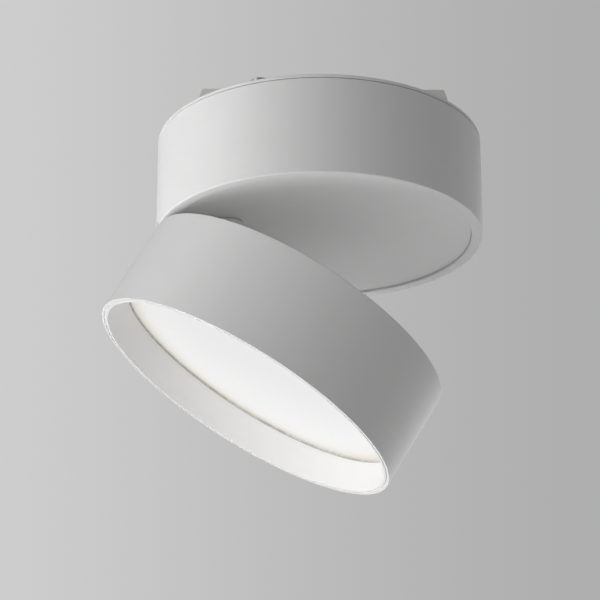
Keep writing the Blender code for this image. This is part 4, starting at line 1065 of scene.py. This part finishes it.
def led_board():
    low, radius = BOARD_DEPTH + BOARD_THICKNESS, 59.5 * MM
    disc = [(0.0, BOARD_DEPTH), (radius, BOARD_DEPTH, 0.1 * MM), (radius, low, 0.1 * MM), (0.0, low)]
    board = head_turned("led_panel", disc)
    combine(board, [head_rod(at, 1.6 * MM, 15 * MM, 30 * MM) for at in head_ring(3, BOARD_PILLAR_RADIUS_AT)])
    half, thickness, well_depth = 1.75 * MM, 0.8 * MM, 0.2 * MM
    face = HEAD_TOP - low
    leds = head_ring(LED_COUNT, LED_RING_RADIUS)
    chips = []
    for x, y in leds:
        chip = box("chip", (x - half, y - half, face - thickness), (x + half, y + half, face + 0.4 * MM))
        chips.append(soften(chip, 0.15 * MM))
    combine(board, chips, "UNION")
    shallow, deep = low + thickness - well_depth, low + thickness + MM
    combine(board, [head_rod(at, 1.25 * MM, shallow, deep) for at in leds])
    wear(board, [BOARD_WHITE, PHOSPHOR], "head", "led_white", "led_board")
    well_z = face - thickness + well_depth
    for polygon in board.data.polygons:
        x, y, z = polygon.center
        if abs(z - well_z) < 0.05 * MM and min(math.dist((x, y), at) for at in leds) < 1.3 * MM:
            polygon.material_index = 1


def optics():
    cone_top, cone_foot = BOARD_DEPTH + 2.2 * MM, DIFFUSER_DEPTH - GAP
    fillet = 0.2 * MM
    cone = [(62.0 * MM, cone_top, fillet), (70.9 * MM, cone_foot, fillet)]
    cone += [(69.9 * MM, cone_foot, fillet), (61.0 * MM, cone_top, fillet)]
    wear(head_turned("reflector", cone), WHITE_PLASTIC, "head", "white_plastic", "reflector_cone")
    face, radius = DIFFUSER_DEPTH + DIFFUSER_THICKNESS, DIFFUSER_RADIUS
    disc = [(0.0, DIFFUSER_DEPTH), (radius, DIFFUSER_DEPTH, fillet), (radius, face, fillet), (0.0, face)]
    wear(head_turned("diffuser_disc", disc), OPAL, "head", "opal", "diffuser")
    sleeve_top = BAFFLE_TOP_DEPTH - BAFFLE_RISE
    ring = band(71.1 * MM, BAFFLE_THROAT + GAP, face + 0.04 * MM, sleeve_top - 0.02 * MM, 0.06 * MM)
    wear(head_turned("gasket_ring", ring), SILICONE, "head", "grey_rubber", "diffuser_gasket")
    outer = RADIUS - HEAD_WALL - 0.1 * MM
    sleeve = [
        (outer, sleeve_top, 0.1 * MM),
        (outer, DRUM_HEIGHT, 0.12 * MM),
        (BAFFLE_INNER, DRUM_HEIGHT, 0.15 * MM),
        (BAFFLE_THROAT, sleeve_top, 0.85 * MM),
    ]
    baffle = head_turned("baffle_sleeve", sleeve)
    wear(baffle, [BAFFLE_WHITE_PAINTED_LIGHT, POWDER], "head", "white_paint", "front_baffle")
    # The front face keeps the plain powder coat and the inside takes the brighter copy: painted light from
    # the diffuser, not a second finish
    for polygon in baffle.data.polygons:
        polygon.material_index = int(polygon.center.z < HEAD_TOP - DRUM_HEIGHT + BAFFLE_FRONT)


def heat_sink():
    """The CAD node stays: its comb shape is right, and only its edges are eased."""
    sink = frame["nodes"]["heat_sink"]
    weld = sink.modifiers.new("Weld", "WELD")
    weld.merge_threshold = 0.00001
    bevel = sink.modifiers.new("Eased edges", "BEVEL")
    bevel.width = 0.12 * MM
    bevel.segments = 2
    bevel.limit_method = "ANGLE"
    bevel.angle_limit = math.radians(40)
    sink.data.materials.clear()
    sink.data.materials.append(ALUMINIUM)


# ---- Stage ---------------------------------------------------------------------------------------


def camera():
    """Looks up from below the drums, a little to the left of them."""
    data = bpy.data.cameras.new("camera")
    data.lens = CAMERA_LENS
    data.sensor_width = 36.0
    seat = place("camera", data)
    seat.location = Vector(CAMERA_PLACE) * RADIUS + Vector((0.0, 0.0, RIM_Z))
    seat.rotation_euler = (math.radians(90 + CAMERA_RISE), 0.0, math.radians(CAMERA_TURN))
    bpy.context.scene.camera = seat


def floor():
    """A floor that only returns light to the object, and over it the pale paper that the camera sees."""
    look = Look("floor_grey", (0.62, 0.62, 0.62), 0.8, specular=0.2)
    look.tint(look.noise(1.5, 2.0), 0.02)
    obj = box("floor", *FLOOR_BOX)
    obj.data.materials.append(look.material)
    obj.visible_camera = False
    sheet = box("floor_paper", *FLOOR_PAPER_BOX)
    # The floor paper carries painted light too: brighter on the left than on the right
    sheet.data.materials.append(paper("floor_pale", 0.60, 0.50))
    unlit(sheet)


def unlit(obj):
    """Stage paper that the camera sees and that casts no light or shade on the object."""
    for ray in ("diffuse", "glossy", "transmission", "shadow", "volume_scatter"):
        setattr(obj, "visible_" + ray, False)


def paper(name, left, right):
    """Grey stage paper that glows by itself, with painted light: brighter on the left, where the key light
    falls, and darker on the right.
    """
    material = bpy.data.materials.new(name)
    material.use_nodes = True
    nodes, links = material.node_tree.nodes, material.node_tree.links
    nodes.clear()
    coordinates = nodes.new("ShaderNodeTexCoord")
    split = nodes.new("ShaderNodeSeparateXYZ")
    spread = nodes.new("ShaderNodeMapRange")
    spread.interpolation_type = "SMOOTHSTEP"
    put(spread, From_Min=-1.6, From_Max=1.3)
    ramp = nodes.new("ShaderNodeValToRGB")
    for element, tone in zip(ramp.color_ramp.elements, (left, right)):
        element.color = (tone, tone, tone, 1.0)
    glow = nodes.new("ShaderNodeEmission")
    out = nodes.new("ShaderNodeOutputMaterial")
    links.new(coordinates.outputs["Object"], split.inputs["Vector"])
    links.new(split.outputs["X"], spread.inputs["Value"])
    links.new(spread.outputs["Result"], ramp.inputs["Fac"])
    links.new(ramp.outputs["Color"], glow.inputs["Color"])
    links.new(glow.outputs["Emission"], out.inputs["Surface"])
    return material


def backdrop():
    bm = bmesh.new()
    bmesh.ops.create_uvsphere(bm, u_segments=96, v_segments=48, radius=DOME_RADIUS)
    dome = place("backdrop", mesh_of("backdrop", bm))
    dome.data.materials.append(paper("backdrop_grey", 0.635, 0.425))
    unlit(dome)


def softbox(name, azimuth, elevation, power):
    """An area light that looks at the drums. Azimuth 0 is the camera's side and -90 is its left."""
    data = bpy.data.lights.new(name, "AREA")
    data.size = SOFTBOX_SIDE
    data.energy = power
    lamp = place(name, data)
    a, e = math.radians(azimuth), math.radians(elevation)
    away = Vector((math.sin(a) * math.cos(e), -math.cos(a) * math.cos(e), math.sin(e)))
    middle = Vector((0.0, 0.0, RIM_Z))
    lamp.location = middle + away * SOFTBOX_DISTANCE
    lamp.rotation_euler = away.to_track_quat("Z", "Y").to_euler()


def studio():
    world = bpy.data.worlds.new("studio")
    world.use_nodes = True
    background = world.node_tree.nodes["Background"]
    put(background, Color=(1.0, 1.0, 1.0, 1.0), Strength=AMBIENT)
    bpy.context.scene.world = world
    for name, azimuth, elevation, power in SOFTBOXES:
        softbox(name, azimuth, elevation, power)
    bpy.context.scene.view_settings.view_transform = "Standard"


CAMERA_LENS = 147.97
# In drum radii, from the middle of the base's rim
CAMERA_PLACE = (-0.275, -13.9332, -5.8743)
CAMERA_RISE = 21.45
CAMERA_TURN = -0.64
FLOOR_BOX = ((-6.0, -6.0, -1.55), (6.0, 6.0, -1.5))
FLOOR_PAPER_BOX = ((-7.0, -7.0, -1.54), (7.0, 7.0, -1.49))
DOME_RADIUS = 8.0
AMBIENT = 0.246
SOFTBOX_DISTANCE = 1.9
SOFTBOX_SIDE = 1.6
# Name, azimuth, elevation, power
SOFTBOXES = [
    ("low_left", -90, -45, 37.7),
    ("under_left", -90, -60, 24.3),
    ("high_left", -70, 40, 7.6),
    ("left_front", -40, -20, 9.4),
    ("low_front", -45, -50, 2.7),
    ("right_back", 120, 0, 4.9),
    ("back", 160, 0, 8.0),
    ("low_back", 180, -45, 7.5),
]

camera()
adapter_housing()
adapter_floor()
adapter_inside()
latch()
contact_tower()
fasteners()
swivel()
base_lid()
base_wall()
base_underside()
driver()
grommet("base_grommet_ring", GROMMET_X, -(DRUM_HEIGHT - RECESS), 1, "base", "base_grommet")
base_leaf()
head_leaf()
hinge_pin()
head_wall()
head_lid()
led_board()
optics()
heat_sink()
grommet("head_grommet_ring", HEAD_GROMMET_X, HEAD_TOP - RECESS, -1, "head", "head_grommet")
floor()
backdrop()
studio()
